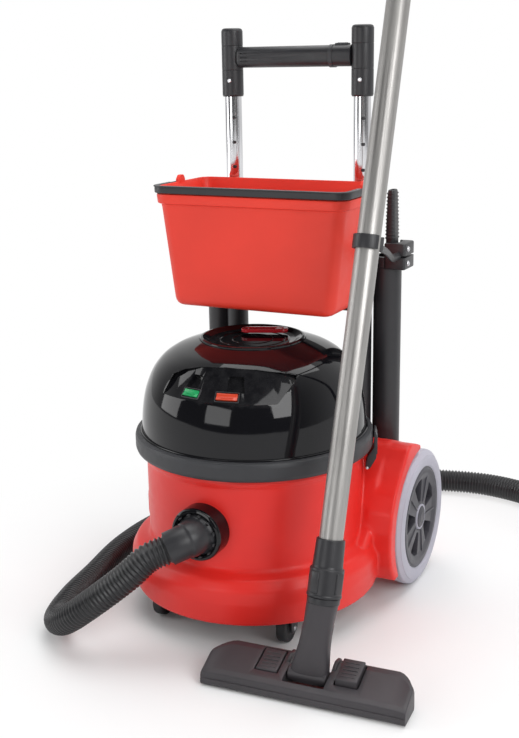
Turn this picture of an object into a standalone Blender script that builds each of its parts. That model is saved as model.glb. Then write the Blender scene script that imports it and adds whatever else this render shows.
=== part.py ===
# Commercial tub vacuum cleaner on a wheeled trolley: red tub and wheel housings, black head with a
# cable winder, telescopic handle, lift-off caddy with a bail, hose, wand and floor tool.
# Metres, +Z up, front of the tub towards -Y, +X to the right. The origin ends up on the floor below
# the middle of the footprint.
import math

import bpy
import bmesh
from mathutils import Matrix, Vector

for old in list(bpy.data.objects):
    bpy.data.objects.remove(old, do_unlink=True)

GAP = 0.0003          # standing clearance between touching faces
RUN = 0.0005          # running clearance of pieces that move on each other

# ---- facets round a full turn --------------------------------------------------------------------
N_BIG, N_WHEEL, N_WIDE, N_MID, N_TUBE, N_PIN = 48, 32, 32, 22, 18, 12

# ---- tub, skirt and wheel housings -------------------------------------------------------------
TUB_R = 0.163
TUB_WALL = 0.0032
TUB_TOP = 0.2537
TUB_FLOOR = 0.074
SKIRT_R = 0.1915
SKIRT_LOW = 0.043
SKIRT_CREASE = 0.116
HOUSE_X = 0.183       # half-width over the two wheel housings
HOUSE_WALL = 0.004
HOUSE_REAR = 0.256
HOUSE_TOP = 0.244
# ---- head ---------------------------------------------------------------------------------------
RING_R = 0.179
RING_LOW = 0.2545
RING_HIGH = 0.283
DOME_R = 0.1685
DOME_TOP = 0.4235
DOME_WALL = 0.003
WINDER_R = 0.078
PANEL_AZ = math.radians(11.0)
# ---- wheels ---------------------------------------------------------------------------------------
WHEEL_R = 0.108
WHEEL_W = 0.030
WHEEL_HUB_R = 0.081
AXLE_R = 0.006
AXLE_Y = 0.1606
WHEEL_GAP = 0.003
ARCH_OUT = 0.0285     # how far the wheel arches stand out from the housings
ARCH_GAP = 0.0050     # from the tyre's tread to its arch
CASTER_R = 0.0225
CASTER_W = 0.018
CASTER_X, CASTER_Y = 0.103, -0.098
CASTER_TRAIL = 0.014
# ---- handle -------------------------------------------------------------------------------------
TUBE_X, TUBE_Y = 0.108, 0.161
TUBE_R = 0.013
TUBE_WALL = 0.0015
SLEEVE_WALL = 0.0035
SLEEVE_LOW, SLEEVE_TOP = 0.135, 0.590
TUBE_LOW = 0.310
GRIP_R = 0.0165
GRIP_LOW, GRIP_TOP = 0.7595, 0.862
BAR_Z, BAR_H, BAR_D = 0.818, 0.031, 0.030
# ---- storage tubes --------------------------------------------------------------------------------
DOCK_Y = 0.1755
DOCK_R = 0.0215
# the storage tubes stand beside the uprights' sleeves and never closer than their own two radii
DOCK_X = max(0.1460, TUBE_X + math.sqrt(max(0.0, (TUBE_R + RUN + SLEEVE_WALL + 0.0010 + DOCK_R + GAP) ** 2 - (DOCK_Y - TUBE_Y) ** 2)))
DOCK_WALL = 0.003
DOCK_LOW, DOCK_TOP = 0.145, 0.522
# ---- caddy ----------------------------------------------------------------------------------------
CADDY_HALF = 0.1510   # half-width of the bin's wall below the rim
CADDY_FRONT, CADDY_BACK = -0.0140, 0.1365
CADDY_LOW, CADDY_RIM = 0.458, 0.637
CADDY_TAPER = 0.021   # how much each end wall leans in towards the floor of the bin
CADDY_TAPER_Y = 0.004     # the same for the front wall
CADDY_TAPER_BACK = 0.0136 # and for the back wall
CADDY_WALL = 0.003
LIP_OUT = 0.0055      # how far the lip stands out of the wall
LIP_H = 0.014
BAIL_H, BAIL_T = 0.0105, 0.009
# ---- wand and floor tool ---------------------------------------------------------------------------
WAND_R = 0.016
WAND_WALL = 0.0012
WAND_BASE = Vector((0.2043, -0.1963, 0.1793))      # a point on the wand's axis
WAND_DIR = Vector((0.010, 0.295, 0.9555)).normalized()
WAND_LEN = 0.933      # straight tube above WAND_BASE less the socket
TOOL_X, TOOL_Y = 0.189, -0.2250
TOOL_YAW = math.radians(3.43)
TOOL_L, TOOL_D = 0.285, 0.078
TOOL_H_FRONT, TOOL_H_REAR = 0.021, 0.038
HOSE_R = 0.021

coll = bpy.data.collections.new("trolley_tub_vacuum")
bpy.context.scene.collection.children.link(coll)
cuts = bpy.data.collections.new("cutters")
bpy.context.scene.collection.children.link(cuts)


def material(name, rgb, rough, metal=0.0):
    m = bpy.data.materials.new(name)
    m.use_nodes = True
    b = m.node_tree.nodes["Principled BSDF"]
    b.inputs["Base Color"].default_value = (*rgb, 1.0)
    b.inputs["Roughness"].default_value = rough
    b.inputs["Metallic"].default_value = metal
    return m


RED = material("red_plastic", (0.75, 0.035, 0.025), 0.35)
GLOSS = material("gloss_black", (0.008, 0.008, 0.010), 0.12)
BLACK = material("matte_black", (0.020, 0.020, 0.022), 0.5)
RUBBER = material("black_rubber", (0.030, 0.030, 0.032), 0.7)
TYRE = material("grey_tyre", (0.45, 0.44, 0.48), 0.6)
HUB = material("dark_grey_hub", (0.045, 0.045, 0.055), 0.45)
ALU = material("anodised_aluminium", (0.55, 0.54, 0.52), 0.35, 1.0)
CHROME = material("chrome_tube", (0.75, 0.75, 0.78), 0.12, 1.0)
STEEL = material("zinc_steel", (0.6, 0.6, 0.62), 0.3, 1.0)
GREEN = material("green_plastic", (0.02, 0.45, 0.12), 0.3)
ORANGE = material("orange_red_plastic", (0.75, 0.10, 0.03), 0.3)
CLOTH = material("filter_cloth", (0.75, 0.74, 0.70), 0.9)
HOSE = material("hose_plastic", (0.018, 0.018, 0.020), 0.45)


def put(ob, mat=None, cutter=False):
    (cuts if cutter else coll).objects.link(ob)
    if mat:
        ob.data.materials.clear()
        ob.data.materials.append(mat)
    if cutter:
        ob.hide_render = True
        ob.display_type = "WIRE"
    return ob


def smooth(ob, angle=35):
    ob.data.shade_smooth()
    ob.data.set_sharp_from_angle(angle=math.radians(angle))
    return ob


def arc(cx, cz, r, a0, a1, n):
    """Points of an arc, from angle a0 to a1 in degrees, both ends included."""
    return [(cx + r * math.cos(math.radians(a0 + (a1 - a0) * i / n)), cz + r * math.sin(math.radians(a0 + (a1 - a0) * i / n))) for i in range(n + 1)]


def turned(name, profile, mat, steps=48, loc=(0, 0, 0), rot=None, closed=False, cutter=False):
    """A turned piece: profile points (radius, height), running down the outer side, spun about Z."""
    me = bpy.data.meshes.new(name)
    bm = bmesh.new()
    vs = [bm.verts.new((r, 0, z)) for r, z in profile]
    for a, b in zip(vs, vs[1:]):
        bm.edges.new((a, b))
    if closed:
        bm.edges.new((vs[-1], vs[0]))
    bm.to_mesh(me)
    bm.free()
    ob = put(bpy.data.objects.new(name, me), mat, cutter)
    s = ob.modifiers.new("turn", "SCREW")
    s.angle = 2 * math.pi
    s.steps = s.render_steps = steps
    s.use_merge_vertices = True
    s.merge_threshold = 0.00001
    s.use_smooth_shade = True
    ob.location = loc
    if rot is not None:
        ob.rotation_mode = "QUATERNION"
        ob.rotation_quaternion = rot
    return ob


def tube(name, r_out, wall, low, high, mat, steps=24, loc=(0, 0, 0), rot=None, cutter=False, edge=0.0006):
    """A round tube, open at both ends, with lightly broken outer edges."""
    ri = r_out - wall
    prof = [(r_out - edge, high), (r_out, high - edge), (r_out, low + edge), (r_out - edge, low), (ri, low), (ri, high)]
    return turned(name, prof, mat, steps, loc, rot, closed=True, cutter=cutter)


def rod(name, r, low, high, mat, steps=24, loc=(0, 0, 0), rot=None, cutter=False, edge=0.0006):
    e = min(edge, r * 0.5, (high - low) * 0.3)
    prof = [(0, high), (r - e, high), (r, high - e), (r, low + e), (r - e, low), (0, low)]
    return turned(name, prof, mat, steps, loc, rot, cutter=cutter)


def box(name, lo, hi, mat, bevel=0.0, seg=2, cutter=False, loc=(0, 0, 0), rot=None):
    """A box between two corners, in the object's own axes, with optional rounded edges."""
    me = bpy.data.meshes.new(name)
    bm = bmesh.new()
    bmesh.ops.create_cube(bm, size=1.0)
    lo, hi = Vector(lo), Vector(hi)
    for v in bm.verts:
        v.co = Vector((lo[i] + (hi[i] - lo[i]) * (v.co[i] + 0.5) for i in range(3)))
    if bevel:
        bmesh.ops.bevel(bm, geom=list(bm.edges), offset=bevel, segments=seg, profile=0.5, affect="EDGES", clamp_overlap=True)
    bm.to_mesh(me)
    bm.free()
    ob = put(bpy.data.objects.new(name, me), mat, cutter)
    ob.location = loc
    if rot is not None:
        ob.rotation_mode = "QUATERNION"
        ob.rotation_quaternion = rot
    return ob


def outline(name, pts, lo, hi, mat, plane="YZ", bevel=0.0, seg=2, cutter=False, holes=()):
    """A flat outline pushed out along the third axis from lo to hi, as a mesh. plane names the outline's axes."""
    cu = bpy.data.curves.new(name, "CURVE")
    cu.dimensions = "2D"
    cu.fill_mode = "BOTH"
    cu.extrude = (hi - lo) / 2
    for ring in [pts, *holes]:
        sp = cu.splines.new("POLY")
        sp.points.add(len(ring) - 1)
        for p, (a, b) in zip(sp.points, ring):
            p.co = (a, b, 0, 1)
        sp.use_cyclic_u = True
    ob = bpy.data.objects.new(name, cu)
    bpy.context.scene.collection.objects.link(ob)
    mid = (lo + hi) / 2
    if plane == "YZ":      # curve x -> Y, y -> Z, extrusion -> X
        m = Matrix(((0, 0, 1, mid), (1, 0, 0, 0), (0, 1, 0, 0), (0, 0, 0, 1)))
    elif plane == "XZ":    # curve x -> X, y -> Z, extrusion -> -Y
        m = Matrix(((1, 0, 0, 0), (0, 0, -1, mid), (0, 1, 0, 0), (0, 0, 0, 1)))
    else:
        m = Matrix(((1, 0, 0, 0), (0, 1, 0, 0), (0, 0, 1, mid), (0, 0, 0, 1)))
    out = to_mesh(ob, name, mat, m, cutter)
    if bevel:
        b = out.modifiers.new("edges", "BEVEL")
        b.width = bevel
        b.segments = seg
        b.limit_method = "ANGLE"
        b.angle_limit = math.radians(50)
        b.use_clamp_overlap = True
    return out


def to_mesh(ob, name, mat, matrix=None, cutter=False):
    """The curve's evaluated mesh with its caps welded, in place of the curve."""
    bpy.context.view_layer.update()
    dg = bpy.context.evaluated_depsgraph_get()
    me = bpy.data.meshes.new_from_object(ob.evaluated_get(dg))
    bm = bmesh.new()
    bm.from_mesh(me)
    bmesh.ops.remove_doubles(bm, verts=bm.verts, dist=0.00002)
    if matrix is not None:
        bmesh.ops.transform(bm, matrix=matrix, verts=bm.verts)
    bmesh.ops.recalc_face_normals(bm, faces=bm.faces)
    bm.to_mesh(me)
    bm.free()
    me.name = name
    w = ob.matrix_world.copy()
    bpy.data.objects.remove(ob, do_unlink=True)
    new = bpy.data.objects.new(name, me)
    new.matrix_world = w
    return put(new, mat, cutter)


def path(name, pts, r, mat, res=3, mesh=False, cutter=False):
    """A round bar along points."""
    cu = bpy.data.curves.new(name, "CURVE")
    cu.dimensions = "3D"
    cu.bevel_depth = r
    cu.bevel_resolution = res
    cu.use_fill_caps = True
    sp = cu.splines.new("POLY")
    sp.points.add(len(pts) - 1)
    for p, q in zip(sp.points, pts):
        p.co = (*q, 1)
    ob = bpy.data.objects.new(name, cu)
    if mesh:
        bpy.context.scene.collection.objects.link(ob)
        return to_mesh(ob, name, mat, cutter=cutter)
    put(ob)
    cu.materials.append(mat)
    return ob


def cut(ob, tool, op="DIFFERENCE"):
    b = ob.modifiers.new(op.lower(), "BOOLEAN")
    b.operation = op
    b.solver = "EXACT"
    b.object = tool
    return ob


def turn_to(direction):
    """The rotation that carries +Z onto direction."""
    return Vector((0, 0, 1)).rotation_difference(Vector(direction).normalized())


def rounded(hx0, hx1, y0, y1, r, n=4):
    """A rounded rectangle, anticlockwise."""
    out = []
    for cx, cy, a in ((hx1 - r, y1 - r, 0), (hx0 + r, y1 - r, 90), (hx0 + r, y0 + r, 180), (hx1 - r, y0 + r, 270)):
        out += arc(cx, cy, r, a, a + 90, n)
    return out


# =================================================================================================
# Tub with its skirt and wheel housings: one moulding, open at the top and underneath
# =================================================================================================
SKIN = [
    (0, TUB_TOP),
    (TUB_R + 0.003, TUB_TOP), (TUB_R + 0.0038, TUB_TOP - 0.002), (TUB_R + 0.0030, TUB_TOP - 0.010), (TUB_R, TUB_TOP - 0.013),
    (TUB_R, SKIRT_CREASE + 0.010), (TUB_R + 0.0012, SKIRT_CREASE + 0.004), (TUB_R + 0.006, SKIRT_CREASE - 0.0005),
    (SKIRT_R - 0.011, SKIRT_CREASE - 0.006), (SKIRT_R - 0.004, SKIRT_CREASE - 0.013), (SKIRT_R - 0.0006, SKIRT_CREASE - 0.023),
    (SKIRT_R, SKIRT_CREASE - 0.034), (SKIRT_R - 0.002, SKIRT_LOW + 0.012), (SKIRT_R - 0.0055, SKIRT_LOW), (0, SKIRT_LOW),
]
body = turned("body_shell", SKIN, RED, steps=N_BIG)

HOUSE = [
    (-0.004, SKIRT_LOW), (0.250, SKIRT_LOW), (HOUSE_REAR, SKIRT_LOW + 0.012), (HOUSE_REAR + 0.001, 0.165), (HOUSE_REAR - 0.003, 0.184),
    (HOUSE_REAR - 0.0120, 0.1965), (0.140, HOUSE_TOP - 0.006), (0.122, HOUSE_TOP - 0.0005), (0.112, HOUSE_TOP), (0.100, HOUSE_TOP - 0.004),
    (0.087, 0.226), (0.068, 0.2105), (0.048, 0.1955), (0.036, 0.172), (0.030, 0.145), (0.022, 0.130), (0.008, 0.1215), (-0.004, 0.112), (-0.010, 0.096), (-0.010, 0.060),
]
house = outline("housing_block", HOUSE, -HOUSE_X, HOUSE_X, None, bevel=0.013, seg=4, cutter=True)
cut(body, house, "UNION")

bore = turned("tub_bore", [(0, TUB_TOP + 0.02), (TUB_R - TUB_WALL, TUB_TOP + 0.02), (TUB_R - TUB_WALL, TUB_FLOOR + 0.012), (TUB_R - TUB_WALL - 0.004, TUB_FLOOR + 0.003), (TUB_R - TUB_WALL - 0.012, TUB_FLOOR), (0, TUB_FLOOR)], None, steps=N_BIG, cutter=True)
under = turned("skirt_hollow", [(0, TUB_FLOOR - 0.005), (SKIRT_R - 0.012, TUB_FLOOR - 0.005), (SKIRT_R - 0.009, TUB_FLOOR - 0.012), (SKIRT_R - 0.0095, SKIRT_LOW - 0.02), (0, SKIRT_LOW - 0.02)], None, steps=N_BIG, cutter=True)
# the hollow inside the housings stays clear of the tub's wall
w = HOUSE_WALL
HOLLOW = [(0.034, SKIRT_LOW - 0.02), (0.247, SKIRT_LOW - 0.02), (HOUSE_REAR - w, SKIRT_LOW + 0.016), (HOUSE_REAR - w, 0.165), (HOUSE_REAR - w - 0.006, 0.180),
          (HOUSE_REAR - w - 0.0120, 0.1890), (0.138, HOUSE_TOP - 0.006 - w), (0.122, HOUSE_TOP - 0.001 - w), (0.110, HOUSE_TOP - 0.006 - w), (0.092, 0.220), (0.068, 0.200), (0.055, 0.188), (0.046, 0.165), (0.042, 0.140)]
hollow = outline("housing_hollow", HOLLOW, -HOUSE_X + w, HOUSE_X - w, None, bevel=0.008, seg=2, cutter=True)
keep = rod("tub_keep", TUB_R, -0.05, 0.40, None, steps=N_BIG, cutter=True)
cut(hollow, keep)
for tool in (bore, under, hollow):
    cut(body, tool)
# holes for the uprights, the storage tubes, the stub axles and the inlet
for s, side in ((-1, "left"), (1, "right")):
    cut(body, rod("sleeve_hole_" + side, TUBE_R + RUN + SLEEVE_WALL + GAP, 0.10, 0.30, None, N_TUBE, (s * TUBE_X, TUBE_Y, 0), cutter=True))
    cut(body, rod("dock_hole_" + side, DOCK_R + GAP, 0.10, 0.30, None, N_TUBE, (s * DOCK_X, DOCK_Y, 0), cutter=True))
    cut(body, rod("axle_hole_" + side, AXLE_R + GAP, 0.12, 0.25, None, N_PIN, (0, AXLE_Y, WHEEL_R), turn_to((s, 0, 0)), cutter=True))
INLET_Z, INLET_R = 0.176, 0.039
FRONT = turn_to((0, -1, 0))
cut(body, rod("inlet_hole", 0.0305 + GAP, 0.12, 0.22, None, N_MID, (0, 0, INLET_Z), FRONT, cutter=True))
smooth(body)

# wheel arches: they stand out from the housings in front of the wheels and over them
ARCH = [
    (0.047, SKIRT_LOW + 0.002), (0.075, SKIRT_LOW + 0.002), (0.120, 0.110), (0.158, 0.190), (0.160, HOUSE_TOP - 0.0155), (0.140, HOUSE_TOP - 0.0078), (0.122, HOUSE_TOP - 0.0025), (0.112, HOUSE_TOP - 0.0020), (0.100, HOUSE_TOP - 0.0060),
    (0.087, 0.2240), (0.066, 0.2070), (0.044, 0.1850), (0.030, 0.1580), (0.0235, 0.1280), (0.0235, 0.1000), (0.0300, 0.0720)]
for s, side in ((-1, "left"), (1, "right")):
    x0, x1 = HOUSE_X + GAP, HOUSE_X + ARCH_OUT
    arch = outline("arch_" + side, ARCH, *((x0, x1) if s > 0 else (-x1, -x0)), RED)
    cut(arch, rod("arch_well_" + side, WHEEL_R + ARCH_GAP, HOUSE_X - 0.02, HOUSE_X + 0.08, None, N_BIG, (0, AXLE_Y, WHEEL_R), turn_to((s, 0, 0)), cutter=True, edge=0.0001))
    cut(arch, rod("arch_skirt_" + side, SKIRT_R + GAP, -0.05, 0.30, None, N_BIG, cutter=True, edge=0.0001))
    smooth(arch)

# closing plate under the tub, which carries the casters
plate = rod("base_plate", SKIRT_R - 0.0125, 0.0605, TUB_FLOOR - 0.005 - GAP, BLACK, N_WIDE)
cut(plate, box("plate_rear_cut", (-0.3, 0.020, 0.0), (0.3, 0.3, 0.2), None, cutter=True))
smooth(plate)

# =================================================================================================
# Suction inlet, dust bag and the cloth filter under the head
# =================================================================================================
inlet = turned("inlet_ring", [
    (0.0245, 0.1855), (INLET_R - 0.006, 0.1900), (INLET_R - 0.0015, 0.1885), (INLET_R, 0.1855), (INLET_R, 0.1668), (0.0300, 0.1668),
    (0.0300, 0.1500), (0.0245, 0.1500)], GLOSS, N_MID, (0, 0, INLET_Z), FRONT, closed=True)
bag = box("filter_bag", (-0.105, -0.100, TUB_FLOOR + 0.0006), (0.105, 0.100, TUB_FLOOR + 0.085), CLOTH, 0.028, 3)
smooth(bag)
CLOTH_LOW, CLOTH_HIGH = 0.186, 0.2450
filt = turned("cloth_filter", [
    (0, CLOTH_LOW + 0.004), (0.129, CLOTH_LOW + 0.004), (0.1455, CLOTH_HIGH), (0.1550, CLOTH_HIGH), (0.1550, CLOTH_HIGH - 0.005), (0.1500, CLOTH_HIGH - 0.006), (0.1330, CLOTH_LOW), (0, CLOTH_LOW)], CLOTH, N_WIDE)

# =================================================================================================
# Head: dome with a switch panel, bumper ring, motor, winder
# =================================================================================================
DOME = [(0, DOME_TOP), (0.050, DOME_TOP - 0.0015), (0.0750, DOME_TOP - 0.0050), (0.0885, DOME_TOP - 0.0088), (0.1000, DOME_TOP - 0.0125), (0.1110, DOME_TOP - 0.0166), (0.1200, DOME_TOP - 0.0212),
        (0.1300, DOME_TOP - 0.0277), (0.1380, DOME_TOP - 0.0350), (0.1460, DOME_TOP - 0.0448), (0.1522, DOME_TOP - 0.0555), (0.1580, DOME_TOP - 0.0695), (0.1622, DOME_TOP - 0.0830), (0.1653, DOME_TOP - 0.0990),
        (0.1675, DOME_TOP - 0.1180), (DOME_R, RING_HIGH), (DOME_R, 0.2590), (DOME_R - 0.0006, 0.2584), (0, 0.2584)]
dome = turned("head_dome", DOME, GLOSS, N_BIG)
t = DOME_WALL
INNER = [(0, DOME_TOP - 0.0135), (0.080, DOME_TOP - 0.0135), (0.0870, DOME_TOP - 0.0139), (0.0988, DOME_TOP - 0.0160), (0.1095, DOME_TOP - 0.0200), (0.1180, DOME_TOP - 0.0243),
         (0.1276, DOME_TOP - 0.0306), (0.1354, DOME_TOP - 0.0376), (0.1433, DOME_TOP - 0.0470), (0.1492, DOME_TOP - 0.0572), (0.1550, DOME_TOP - 0.0708), (0.1592, DOME_TOP - 0.0840), (0.1622, DOME_TOP - 0.1000),
         (0.1645, DOME_TOP - 0.1185), (DOME_R - t, RING_HIGH), (DOME_R - t, 0.2400), (0, 0.2400)]
inner = turned("dome_hollow", INNER, None, N_BIG, cutter=True)
# the switch panel is a conical flat on the dome's front: its radius falls as it rises
PANEL_FOOT_R, PANEL_FOOT_Z = 0.1550, 0.3600
SLOPE = math.radians(49.8)
PANEL = [(-0.0990, 0.3600), (-0.0920, 0.3745), (-0.0865, 0.3868), (-0.0684, 0.3951), (-0.0440, 0.4005), (-0.0050, 0.4029), (0.0370, 0.4012), (0.0700, 0.3968), (0.0925, 0.3915), (0.0860, 0.3790), (0.0730, 0.3600)]


def cone_r(z):
    return PANEL_FOOT_R - (z - PANEL_FOOT_Z) / math.tan(SLOPE)


def panel_cut(name, grow):
    """The block in front of the panel; grown, it keeps the dome's wall behind the panel."""
    pts = [(u + math.copysign(grow, u), z + (grow if z > 0.380 else -grow)) for u, z in PANEL]
    ob = outline(name, pts, -0.250, -0.060, None, plane="XZ", cutter=True)
    ob.rotation_euler = (0, 0, PANEL_AZ)
    back = grow / math.sin(SLOPE)
    cone = turned(name + "_cone", [(0, 0.460), (cone_r(0.460) - back, 0.460), (cone_r(0.320) - back, 0.320), (0, 0.320)], None, N_BIG, cutter=True)
    return cut(ob, cone)


cut(inner, panel_cut("panel_keep", 0.0032))
cut(dome, panel_cut("panel_recess", 0.0))
cut(dome, inner)
# seat of the winder disc, hole for its spindle, hole for the cable gland
cut(dome, rod("winder_seat", WINDER_R + RUN, DOME_TOP - 0.0105, DOME_TOP + 0.02, None, N_WIDE, cutter=True, edge=0.0001))
cut(dome, rod("winder_hole", 0.006 + RUN, 0.38, 0.46, None, N_PIN, cutter=True))
GLAND_AT = Vector((0.1240, 0.0560, 0.3930))
GLAND_DIR = Vector((0.86, 0.42, 0.30)).normalized()
cut(dome, rod("gland_hole", 0.0060 + GAP, -0.03, 0.03, None, N_PIN, GLAND_AT, turn_to(GLAND_DIR), cutter=True))
smooth(dome, 30)

ring = turned("bumper_ring", [
    (DOME_R + GAP, RING_HIGH), (RING_R - 0.0060, RING_HIGH), (RING_R - 0.0018, RING_HIGH - 0.0022), (RING_R, RING_HIGH - 0.0070), (RING_R, RING_LOW + 0.0060),
    (RING_R - 0.0015, RING_LOW + 0.0018), (RING_R - 0.0055, RING_LOW), (0.1480, RING_LOW), (0.1480, RING_LOW + 0.0034), (DOME_R + GAP, RING_LOW + 0.0034)], BLACK, N_BIG, closed=True)
for s, side in ((-1, "left"), (1, "right")):
    # the ring is notched at the back, where it passes the uprights as the head lifts
    cut(ring, rod("ring_notch_" + side, TUBE_R + RUN + SLEEVE_WALL + 0.0015, 0.20, 0.32, None, N_TUBE, (s * TUBE_X, TUBE_Y, 0), cutter=True))
smooth(ring)

MOTOR_R = 0.078
motor = turned("motor_housing", [
    (0.0085, 0.3740), (0.030, 0.3740), (0.034, 0.3720), (0.036, 0.3500), (MOTOR_R - 0.006, 0.3480), (MOTOR_R, 0.3420), (MOTOR_R, 0.2680), (0.1450, 0.2680), (0.1450, 0.2620), (MOTOR_R - 0.010, 0.2620),
    (MOTOR_R - 0.010, 0.3350), (0.0085, 0.3350)], BLACK, N_MID, closed=True)
rotor = turned("fan_rotor", [
    (0, 0.3700), (0.0060, 0.3700), (0.0080, 0.3680), (0.0080, 0.3250), (0.0300, 0.3230), (0.0600, 0.2900), (0.0620, 0.2850), (0.0620, 0.2800), (0.0180, 0.2800), (0.0150, 0.2700), (0, 0.2700)], STEEL, N_MID)
vane = box("impeller_slot", (-0.002, 0.024, 0.2700), (0.002, 0.0700, 0.2990), None, cutter=True)
vane2 = box("impeller_slot2", (0.024, -0.002, 0.2700), (0.0700, 0.002, 0.2990), None, cutter=True)
cut(rotor, vane)
cut(rotor, vane2)

disc = turned("winder_disc", [
    (0, DOME_TOP - 0.0078), (0.0700, DOME_TOP - 0.0078), (0.0715, DOME_TOP - 0.0028), (0.0735, DOME_TOP - 0.0022), (WINDER_R - 0.0010, DOME_TOP - 0.0026), (WINDER_R, DOME_TOP - 0.0036), (WINDER_R, DOME_TOP - 0.0102),
    (0.0060, DOME_TOP - 0.0102), (0.0060, DOME_TOP - 0.0365), (0, DOME_TOP - 0.0365)], GLOSS, N_WHEEL)
# folding crank in the disc, hinged near the middle of the disc
CRANK_AZ = math.radians(22)
CRANK_HINGE = Vector((-0.0260, 0.0240, DOME_TOP - 0.0012))
crank = outline("winder_crank", rounded(-0.0045, 0.066, -0.0115, 0.0115, 0.0110, 5), -0.0027, 0.0022, ORANGE, plane="XY")
crank.location = CRANK_HINGE
crank.rotation_euler = (0, 0, CRANK_AZ)
smooth(crank)

# rockers on the panel: each turns about an axis across its own middle
def on_panel(az, up, out=0.0):
    """A point on the panel: az round the dome from the front, up along the slope, out in front of it."""
    radius = PANEL_FOOT_R - up * math.cos(SLOPE) + out * math.sin(SLOPE)
    return Matrix.Rotation(az, 4, "Z") @ Vector((0, -radius, PANEL_FOOT_Z + up * math.sin(SLOPE) + out * math.cos(SLOPE)))


def panel_face(az):
    return (Matrix.Rotation(az, 4, "Z") @ Matrix.Rotation(SLOPE, 4, "X")).to_quaternion()


ROCKERS = (("rocker_power", math.radians(-9.0), 0.0110, 0.0125, GREEN), ("rocker_speed", math.radians(12.5), 0.0110, 0.0150, ORANGE))
for name, az, up, half, mat in ROCKERS:
    at, face = on_panel(az, up), panel_face(az)
    cut(dome, box(name + "_slot", (-half - RUN, -0.0055 - RUN, -0.02), (half + RUN, 0.0055 + RUN, 0.01), None, cutter=True, loc=at, rot=face))
    r = outline(name, [(-0.0050, 0.0030), (-0.0050, -0.0030), (-0.0015, -0.0050), (0.0015, -0.0050), (0.0050, -0.0030), (0.0050, 0.0018), (0.0010, 0.0012)][::-1], -half, half, mat)
    r.location = at
    r.rotation_mode = "QUATERNION"
    r.rotation_quaternion = face

gland = turned("cable_gland", [
    (0, 0.0125), (0.0045, 0.0125), (0.0052, 0.0118), (0.0058, 0.0040), (0.0080, 0.0036), (0.0085, 0.0030), (0.0085, 0.0016), (0.0060, 0.0016), (0.0060, -0.0085), (0, -0.0085)], RUBBER, N_PIN,
    GLAND_AT + GLAND_DIR * 0.0065, turn_to(GLAND_DIR))

# =================================================================================================
# Head latches: levers hinged on the tub's wall that reach up over the bumper ring
# =================================================================================================
LATCH_AZ = math.radians(20)      # behind the sideways axis
for s, side in ((-1, "left"), (1, "right")):
    out_r = RING_R + GAP * 2
    prof = [(TUB_R + 0.0045, 0.2240), (TUB_R + 0.0105, 0.2190), (out_r + 0.0045, 0.2380), (out_r + 0.0050, 0.2740), (out_r + 0.0030, 0.2800), (out_r + 0.0006, 0.2800),
            (out_r + 0.0006, 0.2545), (TUB_R + 0.0080, 0.2400)]
    la = outline("latch_" + side, prof if s > 0 else prof, -0.015, 0.015, BLACK, plane="XZ")
    la.rotation_euler = (0, 0, LATCH_AZ if s > 0 else math.pi - LATCH_AZ)

# =================================================================================================
# Rear wheels on stub axles
# =================================================================================================
WHEEL_IN = HOUSE_X + WHEEL_GAP
for s, side in ((-1, "left"), (1, "right")):
    q = turn_to((s, 0, 0))
    at = (0, AXLE_Y, WHEEL_R)
    x0, x1 = WHEEL_IN, WHEEL_IN + WHEEL_W
    turned("tyre_" + side, [
        (WHEEL_HUB_R + GAP, x1 - 0.001), (WHEEL_HUB_R + 0.012, x1), (WHEEL_R - 0.007, x1 - 0.001), (WHEEL_R - 0.0018, x1 - 0.0055), (WHEEL_R, x1 - 0.011), (WHEEL_R, x0 + 0.011), (WHEEL_R - 0.0018, x0 + 0.0055),
        (WHEEL_R - 0.007, x0 + 0.001), (WHEEL_HUB_R + 0.012, x0), (WHEEL_HUB_R + GAP, x0 + 0.001)], TYRE, N_WHEEL, at, q, closed=True)
    hub = turned("hub_" + side, [
        (AXLE_R + 0.00006, x1 - 0.0060), (0.020, x1 - 0.0060), (0.022, x1 - 0.0045), (0.060, x1 - 0.0035), (0.070, x1 - 0.0015), (WHEEL_HUB_R, x1 - 0.0022), (WHEEL_HUB_R, x0 + 0.002), (0.074, x0 + 0.002),
        (0.071, x0 + 0.012), (0.026, x0 + 0.014), (0.020, x0 + 0.001), (AXLE_R + 0.00006, x0 + 0.001)], HUB, N_WHEEL, at, q, closed=True)
    for k in range(5):
        a0 = math.radians(100 + 72 * k)
        wedge = [(r * math.cos(a0 + a), r * math.sin(a0 + a)) for r, a in ((0.030, -0.20), (0.047, -0.335), (0.0625, -0.36), (0.0655, -0.18), (0.0665, 0.0), (0.0655, 0.18), (0.0625, 0.36), (0.047, 0.335), (0.030, 0.20))]
        hole = outline(f"hub_hole_{side}_{k}", wedge, WHEEL_IN - 0.01, WHEEL_IN + WHEEL_W + 0.01, None, plane="XY", cutter=True)
        hole.rotation_mode = "QUATERNION"
        hole.rotation_quaternion = q
        hole.location = at
        cut(hub, hole)
    smooth(hub, 30)
    turned("hub_cap_" + side, [(0, x1 - 0.0005), (0.0120, x1 - 0.0010), (0.0160, x1 - 0.0022), (0.0175, x1 - 0.0038), (0.0175, x1 - 0.0056), (0, x1 - 0.0056)], HUB, N_MID, at, q)
    rod("stub_axle_" + side, AXLE_R, 0.1280, x1 - 0.0066, STEEL, N_PIN, at, q)

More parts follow.
